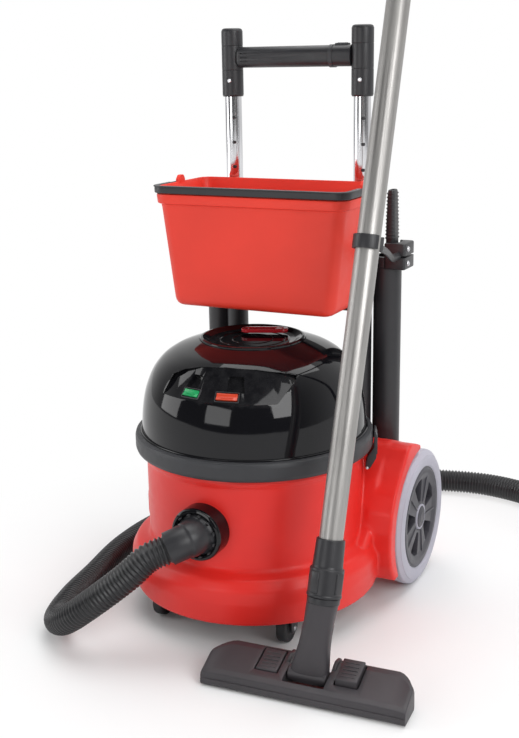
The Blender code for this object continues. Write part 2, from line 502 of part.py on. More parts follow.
# =================================================================================================
# Front swivel casters
# =================================================================================================
FORK_TOP = 0.0602
for s, side in ((-1, "left"), (1, "right")):
    cx, cy = s * CASTER_X, CASTER_Y
    wy = cy - CASTER_TRAIL
    stem_top = FORK_TOP + 0.0085
    cut(plate, rod("stem_hole_" + side, 0.005 + RUN, 0.04, 0.09, None, N_PIN, (cx, cy, 0), cutter=True))
    fork = box("caster_fork_" + side, (cx - CASTER_W / 2 - 0.0045, wy - 0.0090, 0.0165), (cx + CASTER_W / 2 + 0.0045, cy + 0.0100, FORK_TOP - 0.0004), BLACK, 0.0025, 2)
    cut(fork, box("fork_slot_" + side, (cx - CASTER_W / 2 - 0.0010, wy - 0.05, 0.0), (cx + CASTER_W / 2 + 0.0010, cy + 0.0140, CASTER_R * 2 + 0.0030), None, cutter=True))
    cut(fork, rod("fork_stem_" + side, 0.005, FORK_TOP - 0.004, stem_top - 0.002, None, N_PIN, (cx, cy, 0), cutter=True), "UNION")
    cut(fork, rod("fork_bore_" + side, 0.0025 + GAP * 0.2, -0.02, 0.02, None, N_PIN, (cx, wy, CASTER_R), turn_to((1, 0, 0)), cutter=True))
    rod("caster_pin_" + side, 0.0025 - 0.0001, -CASTER_W / 2 - 0.0043, CASTER_W / 2 + 0.0043, STEEL, N_PIN, (cx, wy, CASTER_R), turn_to((1, 0, 0)), edge=0.0003)
    hw = CASTER_W / 2
    turned("caster_wheel_" + side, [
        (0.0026, hw - 0.001), (0.0060, hw), (0.0100, hw - 0.0015), (CASTER_R - 0.0035, hw - 0.001), (CASTER_R - 0.0007, hw - 0.0035), (CASTER_R, hw - 0.0060), (CASTER_R, -hw + 0.0060),
        (CASTER_R - 0.0007, -hw + 0.0035), (CASTER_R - 0.0035, -hw + 0.001), (0.0100, -hw + 0.0015), (0.0060, -hw), (0.0026, -hw + 0.001)], RUBBER, N_MID, (cx, wy, CASTER_R), turn_to((1, 0, 0)), closed=True)

# =================================================================================================
# Telescopic handle
# =================================================================================================
SLEEVE_R = TUBE_R + RUN + SLEEVE_WALL
for s, side in ((-1, "left"), (1, "right")):
    at = (s * TUBE_X, TUBE_Y, 0)
    turned("sleeve_" + side, [
        (TUBE_R + RUN, SLEEVE_TOP), (SLEEVE_R - 0.001, SLEEVE_TOP), (SLEEVE_R + 0.0010, SLEEVE_TOP - 0.001), (SLEEVE_R + 0.0010, SLEEVE_TOP - 0.018), (SLEEVE_R, SLEEVE_TOP - 0.020), (SLEEVE_R, SLEEVE_LOW + 0.001), (SLEEVE_R - 0.001, SLEEVE_LOW), (TUBE_R + RUN, SLEEVE_LOW)],
        BLACK, N_TUBE, at, closed=True)
    tube("inner_tube_" + side, TUBE_R, TUBE_WALL, TUBE_LOW, 0.8050, CHROME, N_TUBE, at)
    sock = turned("grip_socket_" + side, [
        (0, GRIP_TOP), (GRIP_R - 0.0030, GRIP_TOP), (GRIP_R - 0.0008, GRIP_TOP - 0.0014), (GRIP_R, GRIP_TOP - 0.0045), (GRIP_R, GRIP_LOW + 0.001), (GRIP_R - 0.001, GRIP_LOW), (TUBE_R + GAP, GRIP_LOW), (TUBE_R + GAP, 0.8056), (0, 0.8056)],
        BLACK, N_TUBE, at)
bar_half = TUBE_X - GRIP_R + 0.0016       # the bar's ends are cupped round the grip sockets
bar = box("crossbar", (-bar_half, TUBE_Y - BAR_D / 2, BAR_Z - BAR_H / 2), (bar_half, TUBE_Y + BAR_D / 2, BAR_Z + BAR_H / 2), BLACK, 0.0070, 4)
for s, side in ((-1, "left"), (1, "right")):
    cut(bar, rod("bar_cup_" + side, GRIP_R + GAP, 0.70, 0.95, None, N_TUBE, (s * TUBE_X, TUBE_Y, 0), cutter=True))
BUTTON_X0, BUTTON_X1 = 0.066, 0.0865
cut(bar, box("button_well", (BUTTON_X0 - RUN, TUBE_Y - 0.0070 - RUN, BAR_Z + BAR_H / 2 - 0.0090), (BUTTON_X1 + RUN, TUBE_Y + 0.0070 + RUN, BAR_Z + 0.05), None, cutter=True))
smooth(bar)
button = box("release_button", (BUTTON_X0, TUBE_Y - 0.0070, BAR_Z + BAR_H / 2 - 0.0060), (BUTTON_X1, TUBE_Y + 0.0070, BAR_Z + BAR_H / 2 + 0.0030), BLACK, 0.0016, 2)

# =================================================================================================
# Storage tubes, the clamp with the wand's clip, and the crevice tool
# =================================================================================================
for s, side in ((-1, "left"), (1, "right")):
    turned("dock_tube_" + side, [
        (DOCK_R - DOCK_WALL, DOCK_TOP), (DOCK_R - 0.001, DOCK_TOP), (DOCK_R, DOCK_TOP - 0.001), (DOCK_R, DOCK_LOW), (DOCK_R - DOCK_WALL, DOCK_LOW), (DOCK_R - DOCK_WALL, 0.344), (0.010, 0.344), (0.010, 0.348), (DOCK_R - DOCK_WALL, 0.348)],
        BLACK, N_TUBE, (s * DOCK_X, DOCK_Y, 0), closed=True)
CLAMP_LOW, CLAMP_HIGH = 0.5040, 0.5440
clamp = box("clip_block", (DOCK_X + 0.0020, DOCK_Y - 0.0250, CLAMP_LOW), (0.1820, DOCK_Y + 0.0190, CLAMP_HIGH), BLACK, 0.0030, 2)
cut(clamp, rod("clamp_bore", DOCK_R + GAP, CLAMP_LOW - 0.05, CLAMP_HIGH + 0.05, None, N_TUBE, (DOCK_X, DOCK_Y, 0), cutter=True))
cut(clamp, rod("clamp_sleeve_way", TUBE_R + RUN + SLEEVE_WALL + 0.0010 + GAP * 2, CLAMP_LOW - 0.05, CLAMP_HIGH + 0.05, None, N_TUBE, (TUBE_X, TUBE_Y, 0), cutter=True))
smooth(clamp)
CLIP_S = 0.4205        # distance of the clip above WAND_BASE along the wand
clip_at = WAND_BASE + WAND_DIR * CLIP_S
ARM_Y = DOCK_Y - 0.0250 - GAP
arm_pts = [(0.1710, ARM_Y, 0.5260), (0.1710, ARM_Y - 0.020, 0.5260), (0.1900, ARM_Y - 0.105, 0.5500), (clip_at.x - 0.003, clip_at.y + 0.0185, clip_at.z - 0.0035)]
clip = turned("wand_clip", [(WAND_R + 0.0004, 0.0095), (WAND_R + 0.0038, 0.0095), (WAND_R + 0.0048, 0.0085), (WAND_R + 0.0048, -0.0085), (WAND_R + 0.0038, -0.0095), (WAND_R + 0.0004, -0.0095)],
              BLACK, N_MID, clip_at, turn_to(WAND_DIR), closed=True)
arm = path("clip_arm", arm_pts, 0.0065, None, 3, mesh=True, cutter=True)
cut(clip, arm, "UNION")
cut(clip, rod("clip_way", WAND_R + 0.0004, -0.06, 0.06, None, N_MID, clip_at, turn_to(WAND_DIR), cutter=True))
cut(clip, box("clip_mouth", (0.004, -0.0085, -0.02), (0.05, 0.0085, 0.02), None, cutter=True, loc=clip_at, rot=turn_to(WAND_DIR)))
smooth(clip)

CREV_X, CREV_Y = DOCK_X + 0.0060, DOCK_Y + 0.0015
CREV_LOW, CREV_TOP = 0.3486, 0.6220
me = bpy.data.meshes.new("crevice_tool")
bm = bmesh.new()
bmesh.ops.create_cone(bm, cap_ends=True, segments=20, radius1=0.0112, radius2=0.0112, depth=0.10, matrix=Matrix.Translation((0, 0, CREV_LOW + 0.05)))
for z, sx, sy in ((0.5700, 0.0072, 0.0125), (CREV_TOP - 0.004, 0.0056, 0.0112), (CREV_TOP, 0.0046, 0.0102)):
    bm.faces.ensure_lookup_table()
    top = max(bm.faces, key=lambda f: f.calc_center_median().z)
    got = bmesh.ops.extrude_face_region(bm, geom=[top])
    bmesh.ops.delete(bm, geom=[top], context="FACES_ONLY")
    vs = [v for v in got["geom"] if isinstance(v, bmesh.types.BMVert)]
    for v in vs:
        a = math.atan2(v.co.y, v.co.x)
        v.co = Vector((sx * math.cos(a), sy * math.sin(a), z))
bmesh.ops.recalc_face_normals(bm, faces=bm.faces)
bm.to_mesh(me)
bm.free()
crev = put(bpy.data.objects.new("crevice_tool", me), BLACK)
crev.location = (CREV_X, CREV_Y, 0)
cut(crev, rod("crevice_bore", 0.0088, CREV_LOW - 0.02, 0.4700, None, N_PIN, (CREV_X, CREV_Y, 0), cutter=True))
cut(crev, box("crevice_slot", (-0.0022, -0.0070, 0.4600), (0.0022, 0.0070, CREV_TOP + 0.02), None, cutter=True, loc=(CREV_X, CREV_Y, 0)))
smooth(crev)

# =================================================================================================
# Caddy: a tapered bin with a lip, a bail that lies on its rim, and the bracket that carries it
# =================================================================================================
me = bpy.data.meshes.new("caddy_bin")
bm = bmesh.new()
bmesh.ops.create_cube(bm, size=1.0)
for v in bm.verts:
    up = v.co.z > 0
    hx = CADDY_HALF - (0 if up else CADDY_TAPER)
    y0 = CADDY_FRONT + (0 if up else CADDY_TAPER_Y)
    y1 = CADDY_BACK - (0 if up else CADDY_TAPER_BACK)
    v.co = Vector((math.copysign(hx, v.co.x), y0 if v.co.y < 0 else y1, (CADDY_RIM - GAP * 0) if up else CADDY_LOW))
top = max(bm.faces, key=lambda f: f.calc_center_median().z)
bmesh.ops.delete(bm, geom=[top], context="FACES_ONLY")
sides = [e for e in bm.edges if abs(e.verts[0].co.z - e.verts[1].co.z) > 0.1]
bmesh.ops.bevel(bm, geom=sides, offset=0.018, segments=4, profile=0.5, affect="EDGES")
low = [e for e in bm.edges if max(v.co.z for v in e.verts) < CADDY_LOW + 0.001]
bmesh.ops.bevel(bm, geom=low, offset=0.013, segments=2, profile=0.5, affect="EDGES")
bmesh.ops.recalc_face_normals(bm, faces=bm.faces)
bm.to_mesh(me)
bm.free()
bin_ = put(bpy.data.objects.new("caddy_bin", me), RED)
so = bin_.modifiers.new("wall", "SOLIDIFY")
so.thickness = CADDY_WALL
so.offset = -1
so.use_even_offset = True
LIP_TOP = CADDY_RIM - BAIL_H - GAP * 3
lip_k = CADDY_TAPER / (CADDY_RIM - CADDY_LOW)


def lip_ring(out, r):
    return rounded(-CADDY_HALF - out, CADDY_HALF + out, CADDY_FRONT - out, CADDY_BACK + out, r)


lip = outline("caddy_lip", lip_ring(LIP_OUT, 0.020), LIP_TOP - LIP_H, LIP_TOP, None, plane="XY", cutter=True, holes=(lip_ring(-0.0022, 0.0155),))
cut(bin_, lip, "UNION")
smooth(bin_)
PIVOT_Y = (CADDY_FRONT + CADDY_BACK) / 2
PIVOT_Z = CADDY_RIM - BAIL_H / 2
# bail: a U-shaped band round the front of the rim, from one pivot to the other
o_r, i_r = LIP_OUT + 0.0002, LIP_OUT + 0.0002 - BAIL_T
o_half, i_half = CADDY_HALF + LIP_OUT, CADDY_HALF + 0.0006
U = [(o_half, PIVOT_Y + 0.002)] + [(i_half, PIVOT_Y + 0.002)]
U += [(x, y) for x, y in reversed(arc(i_half - 0.0180, CADDY_FRONT - 0.0006 + 0.0180, 0.0180, 270, 360, 4))]
U += [(x, y) for x, y in reversed(arc(-i_half + 0.0180, CADDY_FRONT - 0.0006 + 0.0180, 0.0180, 180, 270, 4))]
U += [(-i_half, PIVOT_Y + 0.002), (-o_half, PIVOT_Y + 0.002)]
U += arc(-o_half + 0.020, CADDY_FRONT - LIP_OUT + 0.020, 0.020, 180, 270, 4)
U += arc(o_half - 0.020, CADDY_FRONT - LIP_OUT + 0.020, 0.020, 270, 360, 4)
bail = outline("caddy_bail", U, CADDY_RIM - BAIL_H, CADDY_RIM + 0.0005, BLACK, plane="XY")
smooth(bail)
BR_Y1 = TUBE_Y - SLEEVE_R - 0.0010 - GAP
bracket = outline("caddy_bracket", [
    (0.0880, CADDY_LOW - GAP - 0.0080), (BR_Y1, CADDY_LOW - GAP - 0.0080), (BR_Y1, 0.5600), (BR_Y1 - 0.0045, 0.5600), (BR_Y1 - 0.0045, CADDY_LOW + 0.040), (BR_Y1 - 0.0120, CADDY_LOW - GAP), (0.0880, CADDY_LOW - GAP)][::-1],
    -TUBE_X - 0.012, TUBE_X + 0.012, BLACK)

# =================================================================================================
# Wand, its bent end, and the floor tool
# =================================================================================================
Q = turn_to(WAND_DIR)
SOCK_TOP = 0.030       # the tool's socket grips the wand's foot up to here, measured along the wand
tube("wand_tube", WAND_R, WAND_WALL, -0.012, WAND_LEN, ALU, N_MID, WAND_BASE, Q)
# bent end: leaves the wand straight and curves towards the right
BEND_R = WAND_R - WAND_WALL - GAP
side_dir = Vector((0.93, 0.10, 0.0)) - WAND_DIR * Vector((0.93, 0.10, 0.0)).dot(WAND_DIR)
side_dir.normalize()
CURVE_R = 0.110
bend_c = WAND_BASE + WAND_DIR * (WAND_LEN + 0.012) + side_dir * CURVE_R
bend_pts = [WAND_BASE + WAND_DIR * (WAND_LEN - 0.045), WAND_BASE + WAND_DIR * (WAND_LEN - 0.010)]
BEND_DEG = 62
for i in range(9):
    a = math.radians(BEND_DEG * i / 8)
    bend_pts.append(bend_c - side_dir * CURVE_R * math.cos(a) + WAND_DIR * CURVE_R * math.sin(a))
end_dir = (side_dir * math.sin(math.radians(BEND_DEG)) + WAND_DIR * math.cos(math.radians(BEND_DEG))).normalized()
bend_end = bend_pts[-1] + end_dir * 0.045
bend_pts.append(bend_end)
path("wand_bend", [tuple(p) for p in bend_pts], BEND_R, ALU, 3)

sock = turned("neck_socket", [
    (WAND_R + GAP, SOCK_TOP), (WAND_R + 0.0026, SOCK_TOP), (WAND_R + 0.0040, SOCK_TOP - 0.0015), (WAND_R + 0.0046, -0.006), (WAND_R + 0.0066, -0.010), (WAND_R + 0.0070, -0.043), (WAND_R + 0.0060, -0.046),
    (0.0125, -0.046), (0.0125, -0.0125), (WAND_R + GAP, -0.0125)], BLACK, N_MID, WAND_BASE, Q, closed=True)
TR = Matrix.Translation((TOOL_X, TOOL_Y, 0)) @ Matrix.Rotation(TOOL_YAW, 4, "Z")
HINGE_Y, HINGE_Z = -0.0020, 0.0245
HINGE = TR @ Vector((0.0, HINGE_Y, HINGE_Z))
# lower neck: a barrel across the tool and a throat that rises to the socket
neck_top = WAND_BASE + WAND_DIR * (-0.0466)
axis_to = (neck_top - HINGE)
me = bpy.data.meshes.new("neck_lower")
bm = bmesh.new()
bmesh.ops.create_cone(bm, cap_ends=True, segments=24, radius1=0.0215, radius2=0.0215, depth=0.004, matrix=Matrix.Translation(neck_top - WAND_DIR * 0.0020) @ Q.to_matrix().to_4x4())
flat = TR.to_3x3() @ Vector((1, 0, 0))
for k, (share, wx, wy) in enumerate(((0.22, 0.0205, 0.0195), (0.45, 0.0195, 0.0165), (0.72, 0.0225, 0.0130), (0.97, 0.0262, 0.0098))):
    bm.faces.ensure_lookup_table()
    low = min((f for f in bm.faces if len(f.verts) > 10), key=lambda f: f.calc_center_median().z)
    got = bmesh.ops.extrude_face_region(bm, geom=[low])
    bmesh.ops.delete(bm, geom=[low], context="FACES_ONLY")
    vs = [v for v in got["geom"] if isinstance(v, bmesh.types.BMVert)]
    mid = sum((v.co for v in vs), Vector()) / len(vs)
    c = neck_top.lerp(HINGE, share)
    normal = axis_to.normalized()
    fwd = normal.cross(flat).normalized()
    for v in vs:
        d = v.co - mid
        a = math.atan2(d.dot(fwd), d.dot(flat))
        e = 0.75
        ca, sa = math.cos(a), math.sin(a)
        v.co = c + flat * (wx * math.copysign(abs(ca) ** e, ca)) + fwd * (wy * math.copysign(abs(sa) ** e, sa))
bmesh.ops.recalc_face_normals(bm, faces=bm.faces)
bm.to_mesh(me)
bm.free()
neck = put(bpy.data.objects.new("neck_lower", me), BLACK)
cut(neck, rod("neck_barrel", 0.0115, -0.0275, 0.0275, None, N_PIN, HINGE, turn_to(flat), cutter=True), "UNION")
cut(neck, rod("neck_throat", 0.0110, -0.03, 0.0400, None, N_PIN, neck_top, Q, cutter=True))
smooth(neck)

# floor tool body: a low wedge with a notch for the neck and wells for the two foot pads
tool = outline("tool_body", [
    (-TOOL_D / 2 + 0.003, 0.0022), (TOOL_D / 2 - 0.003, 0.0022), (TOOL_D / 2, 0.0060), (TOOL_D / 2 - 0.0015, TOOL_H_REAR - 0.009), (TOOL_D / 2 - 0.0095, TOOL_H_REAR), (TOOL_D / 2 - 0.020, TOOL_H_REAR - 0.0005),
    (-TOOL_D / 2 + 0.010, TOOL_H_FRONT + 0.0035), (-TOOL_D / 2 + 0.003, TOOL_H_FRONT), (-TOOL_D / 2, TOOL_H_FRONT - 0.004), (-TOOL_D / 2 - 0.001, 0.0060)], -TOOL_L / 2, TOOL_L / 2, BLACK, bevel=0.0)
tool.matrix_world = TR
for k, s in enumerate((-1, 1)):
    # the end corners are cut away at the back, so the tool narrows towards its ends
    corner = outline(f"tool_corner_{k}", [(s * (TOOL_L / 2 - 0.024), 0.060), (s * (TOOL_L / 2 - 0.024), TOOL_D / 2 + 0.0), (s * (TOOL_L / 2 - 0.012), TOOL_D / 2 - 0.010), (s * (TOOL_L / 2 + 0.001), TOOL_D / 2 - 0.034), (s * (TOOL_L / 2 + 0.02), 0.060)], -0.01, 0.06, None, plane="XY", cutter=True)
    corner.matrix_world = TR
    cut(tool, corner)
NOTCH_HALF = 0.0275 + RUN * 2
notch = box("neck_notch", (-NOTCH_HALF, HINGE_Y - 0.0240, HINGE_Z - 0.0115 - 0.0015), (NOTCH_HALF, 0.08, 0.08), None, cutter=True)
notch.matrix_world = TR
cut(tool, notch)
PAD_X, PAD_HALF, PAD_GAP = 0.0560, 0.0150, 0.0020
PAD_Y0, PAD_Y1 = -0.0150, 0.0240
top_slope = math.atan2(TOOL_H_REAR - 0.0005 - TOOL_H_FRONT - 0.0035, TOOL_D - 0.030)


def top_z(y):
    return TOOL_H_FRONT + 0.0035 + (y + TOOL_D / 2 - 0.010) * math.tan(top_slope)


for s, side in ((-1, "left"), (1, "right")):
    well = box("pad_well_" + side, (s * PAD_X - PAD_HALF - PAD_GAP, PAD_Y0 - 0.0008, 0.0120), (s * PAD_X + PAD_HALF + PAD_GAP, PAD_Y1 + 0.0008, 0.08), None, cutter=True)
    well.matrix_world = TR
    cut(tool, well)
    rise = 0.0008 if s < 0 else 0.0075
    pad = outline("foot_pad_" + side, [(PAD_Y0, 0.0205), (PAD_Y1, 0.0205), (PAD_Y1, top_z(PAD_Y1) + rise), (PAD_Y0 + 0.001, top_z(PAD_Y0) + rise), (PAD_Y0, top_z(PAD_Y0) + rise - 0.001)], s * PAD_X - PAD_HALF, s * PAD_X + PAD_HALF, BLACK)
    pad.matrix_world = TR
groove = box("brush_groove", (-TOOL_L / 2 + 0.012, -0.0290, -0.01), (TOOL_L / 2 - 0.012, -0.0210, 0.0096), None, cutter=True)
groove.matrix_world = TR
cut(tool, groove)
mouth = box("tool_mouth", (-TOOL_L / 2 + 0.020, -0.0100, -0.01), (TOOL_L / 2 - 0.020, 0.0060, 0.0070), None, cutter=True)
mouth.matrix_world = TR
cut(tool, mouth)
brush = box("brush_strip", (-TOOL_L / 2 + 0.0130, -0.0284, 0.0026), (TOOL_L / 2 - 0.0130, -0.0216, 0.0091), RUBBER)
brush.matrix_world = TR
sole = box("sole_plate", (-TOOL_L / 2 + 0.010, 0.0100, 0.0), (TOOL_L / 2 - 0.010, 0.0280, 0.0019), STEEL, 0.0005, 1)
sole.matrix_world = TR

# =================================================================================================
# Hose with a cuff at each end
# =================================================================================================
cuff_start = Vector((0.0, -0.1500, INLET_Z))
CUFF_PTS = [cuff_start, Vector((0.0, -0.1930, INLET_Z)), Vector((-0.0035, -0.2030, INLET_Z - 0.0015)), Vector((-0.0120, -0.2135, INLET_Z - 0.0050)), Vector((-0.0235, -0.2225, INLET_Z - 0.0105))]
path("hose_cuff_machine", [tuple(p) for p in CUFF_PTS], 0.0235, HOSE, 3)
cuff_end = CUFF_PTS[-1]
out_dir = (CUFF_PTS[-1] - CUFF_PTS[-2]).normalized()

WC0, WC1 = 0.0306, 0.1000        # the wand's cuff, measured back from the bent end
turned("hose_cuff_wand", [(0, 0.0600), (0.0215, 0.0600), (0.0235, 0.0580), (0.0235, 0.0200), (0.0200, 0.0100), (0.0190, -0.0250), (BEND_R + GAP, -0.0250), (BEND_R + GAP, 0.0008), (0, 0.0008)], HOSE, N_TUBE, bend_end, turn_to(end_dir))
hose_end = bend_end + end_dir * (0.0600 + GAP)

end_dir_out = -end_dir            # the hose runs against the cuff's own direction here
FLOOR = HOSE_R
TURN_R = 0.172                    # the drape from the wand's bent end stays about four hose diameters wide
end_out = Vector((end_dir.x, end_dir.y, 0)).normalized()
end_rise = math.asin(end_dir.z)
turn_hub = hose_end + end_dir * 0.016 + (end_out * math.sin(end_rise) - Vector((0, 0, 1)) * math.cos(end_rise)) * TURN_R
OVER = [turn_hub + end_out * (TURN_R * math.cos(math.radians(a))) + Vector((0, 0, TURN_R * math.sin(math.radians(a)))) for a in (0, 24, 48, 72, 96)]
ROUTE = [cuff_end + out_dir * GAP, cuff_end + out_dir * 0.030, Vector((-0.0700, -0.2550, 0.1300)), Vector((-0.1200, -0.2730, 0.0870)), Vector((-0.1730, -0.2660, 0.0460)), Vector((-0.2140, -0.2300, 0.0235)),
         Vector((-0.2360, -0.1650, FLOOR)), Vector((-0.2500, -0.0800, FLOOR)), Vector((-0.2680, 0.0300, FLOOR)), Vector((-0.2640, 0.1400, FLOOR)), Vector((-0.2250, 0.2600, FLOOR)), Vector((-0.1480, 0.3800, FLOOR)), Vector((-0.0350, 0.4850, FLOOR)),
         Vector((0.1000, 0.5420, FLOOR)), Vector((0.2200, 0.5620, FLOOR)), Vector((0.3400, 0.5220, FLOOR)), Vector((0.4500, 0.4200, FLOOR + 0.0010)), Vector((0.5290, 0.3370, 0.0500)), Vector((0.5800, 0.2820, 0.1260)),
         Vector((0.6000, 0.2560, 0.2300)), Vector((0.6050, 0.2380, 0.4500)), Vector((0.6060, 0.2230, 0.7000)), Vector((0.6050, 0.2120, 0.9000)), *OVER, hose_end + end_dir * 0.016, hose_end]


def smooth_route(pts, n):
    """A Catmull-Rom curve through the route's own points, sampled at even lengths."""
    fine = []
    ext = [pts[0] * 2 - pts[1], *pts, pts[-1] * 2 - pts[-2]]
    for p0, p1, p2, p3 in zip(ext, ext[1:], ext[2:], ext[3:]):
        t0, t1 = 0.0, (p1 - p0).length ** 0.5
        t2 = t1 + (p2 - p1).length ** 0.5
        t3 = t2 + (p3 - p2).length ** 0.5
        for k in range(24):
            u = t1 + (t2 - t1) * k / 24
            a1 = p0 * ((t1 - u) / (t1 - t0)) + p1 * ((u - t0) / (t1 - t0))
            a2 = p1 * ((t2 - u) / (t2 - t1)) + p2 * ((u - t1) / (t2 - t1))
            a3 = p2 * ((t3 - u) / (t3 - t2)) + p3 * ((u - t2) / (t3 - t2))
            b1 = a1 * ((t2 - u) / (t2 - t0)) + a2 * ((u - t0) / (t2 - t0))
            b2 = a2 * ((t3 - u) / (t3 - t1)) + a3 * ((u - t1) / (t3 - t1))
            fine.append(b1 * ((t2 - u) / (t2 - t1)) + b2 * ((u - t1) / (t2 - t1)))
    fine.append(pts[-1])
    run = [0.0]
    for a, b in zip(fine, fine[1:]):
        run.append(run[-1] + (b - a).length)
    out, j = [], 0
    for k in range(n):
        want = run[-1] * k / (n - 1)
        while j < len(run) - 2 and run[j + 1] < want:
            j += 1
        f = (want - run[j]) / max(run[j + 1] - run[j], 1e-9)
        out.append(fine[j].lerp(fine[j + 1], min(1.0, max(0.0, f))))
    return out, run[-1]


hose_pts, HOSE_LENGTH = smooth_route(ROUTE, 64)
hose_pts = [ROUTE[0], ROUTE[0] + out_dir * 0.012, *hose_pts[1:-1], ROUTE[-1] - end_dir_out * 0.012, ROUTE[-1]]
path("hose_tube", [(p.x, p.y, max(p.z, FLOOR)) for p in hose_pts], HOSE_R - 0.0001, HOSE, 2)

# =================================================================================================
# The origin goes to the middle of the footprint, on the floor
# =================================================================================================
wheel_out = WHEEL_IN + WHEEL_W
tool_right = TOOL_X + TOOL_L / 2 * math.cos(TOOL_YAW) + (TOOL_D / 2 + 0.001) * math.sin(TOOL_YAW)
tool_front = TOOL_Y - (TOOL_D / 2 + 0.001) * math.cos(TOOL_YAW) - TOOL_L / 2 * math.sin(TOOL_YAW)
SHIFT = Vector((-(max(wheel_out, tool_right, bend_end.x + 0.014) - wheel_out) / 2, -(tool_front + AXLE_Y + WHEEL_R) / 2, 0))
root = bpy.data.objects.new("footprint_middle", None)
bpy.context.scene.collection.objects.link(root)
root.location = SHIFT
for ob in list(coll.objects) + list(cuts.objects):
    if ob.parent is None:
        ob.parent = root
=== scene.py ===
from math import acos, asin, atan2, copysign, cos, pi, radians, sin, tan

import bpy
import bmesh
from mathutils import Matrix, Vector


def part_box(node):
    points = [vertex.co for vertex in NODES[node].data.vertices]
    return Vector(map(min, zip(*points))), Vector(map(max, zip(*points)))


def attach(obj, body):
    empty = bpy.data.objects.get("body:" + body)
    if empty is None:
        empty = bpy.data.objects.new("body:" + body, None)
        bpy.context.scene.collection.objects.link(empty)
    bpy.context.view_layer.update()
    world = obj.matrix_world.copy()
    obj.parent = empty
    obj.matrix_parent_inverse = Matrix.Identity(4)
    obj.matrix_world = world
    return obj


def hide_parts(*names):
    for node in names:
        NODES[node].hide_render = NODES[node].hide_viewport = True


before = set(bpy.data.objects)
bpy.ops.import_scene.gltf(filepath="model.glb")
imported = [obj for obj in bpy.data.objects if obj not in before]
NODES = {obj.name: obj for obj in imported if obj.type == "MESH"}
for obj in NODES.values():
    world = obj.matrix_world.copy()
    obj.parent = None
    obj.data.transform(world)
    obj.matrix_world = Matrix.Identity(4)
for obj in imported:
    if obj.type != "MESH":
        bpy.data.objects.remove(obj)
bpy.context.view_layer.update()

SCENE = bpy.context.scene
# the tub's vertical axis: pieces are modelled round it, and moved there when they are finished
dome_lo, dome_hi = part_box("head_dome")
AXIS = Vector(((dome_lo.x + dome_hi.x) / 2, (dome_lo.y + dome_hi.y) / 2, 0.0))


# ============================================================================== camera, light, floor
def point_at(direction, up_hint=(0, 0, 1)):
    back = -Vector(direction).normalized()
    right = Vector(up_hint).cross(back).normalized()
    return Matrix((right, back.cross(right), back)).transposed()


# the camera's angles, lens and place come from measures in the photograph
LENS, CAMERA_AT = 55.53, Vector((0.7411, -1.4613, 0.8139))
YAW, PITCH, ROLL = radians(26.57), radians(15.19), radians(-0.97)
cam_data = bpy.data.cameras.new("camera")
cam_data.lens = LENS
cam_data.sensor_width = 36.0
cam_data.clip_end = 50.0
cam = bpy.data.objects.new("camera", cam_data)
SCENE.collection.objects.link(cam)
look = Vector((-sin(YAW) * cos(PITCH), cos(YAW) * cos(PITCH), -sin(PITCH)))
turn = point_at(look) @ Matrix.Rotation(ROLL, 3, "Z")
cam.matrix_world = Matrix.Translation(AXIS + CAMERA_AT) @ turn.to_4x4()
SCENE.camera = cam

SCENE.view_settings.view_transform = "Standard"
SCENE.view_settings.look = "None"


def area(name, at, target, size, watts, colour=(1, 1, 1), size_y=None):
    data = bpy.data.lights.new(name, "AREA")
    data.energy = watts
    data.color = colour
    data.shape = "RECTANGLE"
    data.size = size
    data.size_y = size_y or size
    ob = bpy.data.objects.new(name, data)
    SCENE.collection.objects.link(ob)
    at, target = Vector(at), Vector(target)
    ob.matrix_world = Matrix.Translation(at) @ point_at(target - at, (0, 0, 1) if abs((target - at).normalized().z) < 0.95 else (0, 1,
        0)).to_4x4()


area("key_right", (2.1, -1.3, 1.7), (0.0, 0.0, 0.35), 1.3, 42, size_y=1.8)
area("top_box", (0.1, 0.5, 2.6), (0, 0, 0), 2.4, 46)
area("fill_left", (-2.2, -0.9, 1.1), (0, 0, 0.4), 1.1, 17, size_y=1.7)
area("front_low", (-0.5, -2.6, 0.9), (0, 0, 0.4), 1.2, 10, size_y=0.9)

world = bpy.data.worlds.new("studio")
SCENE.world = world
world.use_nodes = True
wt = world.node_tree
wt.nodes.clear()
w_out, w_seen, w_lit, w_dir, w_sep, w_map, w_ray, w_mix = (wt.nodes.new("ShaderNode" + kind) for kind in (
    "OutputWorld", "Background", "Background", "TexCoord", "SeparateXYZ", "MapRange", "LightPath", "MixShader"))
w_seen.inputs["Color"].default_value = (1.0, 1.0, 1.0, 1)
w_seen.inputs["Strength"].default_value = 1.0
w_lit.inputs["Strength"].default_value = 1.0
for end, value in (("From Min", -0.35), ("From Max", 0.55), ("To Min", 0.1), ("To Max", 0.8)):
    w_map.inputs[end].default_value = value
for start, end in ((w_dir.outputs["Generated"], w_sep.inputs[0]), (w_sep.outputs["Y"], w_map.inputs["Value"]),
                   (w_map.outputs[0], w_lit.inputs["Color"]), (w_ray.outputs["Is Camera Ray"], w_mix.inputs[0]),
                   (w_lit.outputs[0], w_mix.inputs[1]), (w_seen.outputs[0], w_mix.inputs[2]), (w_mix.outputs[0], w_out.inputs[0])):
    wt.links.new(start, end)


# ========================================================================================= materials
def new_material(name):
    m = bpy.data.materials.new(name)
    m.use_nodes = True
    nt = m.node_tree
    return m, nt, nt.nodes["Principled BSDF"]


def coords(nt, scale=(1, 1, 1)):
    tc = nt.nodes.new("ShaderNodeTexCoord")
    mp = nt.nodes.new("ShaderNodeMapping")
    mp.inputs["Scale"].default_value = scale
    nt.links.new(tc.outputs["Object"], mp.inputs["Vector"])
    return mp.outputs[0]


def noise(nt, vec, scale, detail=3.0, rough=0.55):
    n = nt.nodes.new("ShaderNodeTexNoise")
    n.inputs["Scale"].default_value = scale
    n.inputs["Detail"].default_value = detail
    n.inputs["Roughness"].default_value = rough
    nt.links.new(vec, n.inputs["Vector"])
    return n.outputs["Fac"]


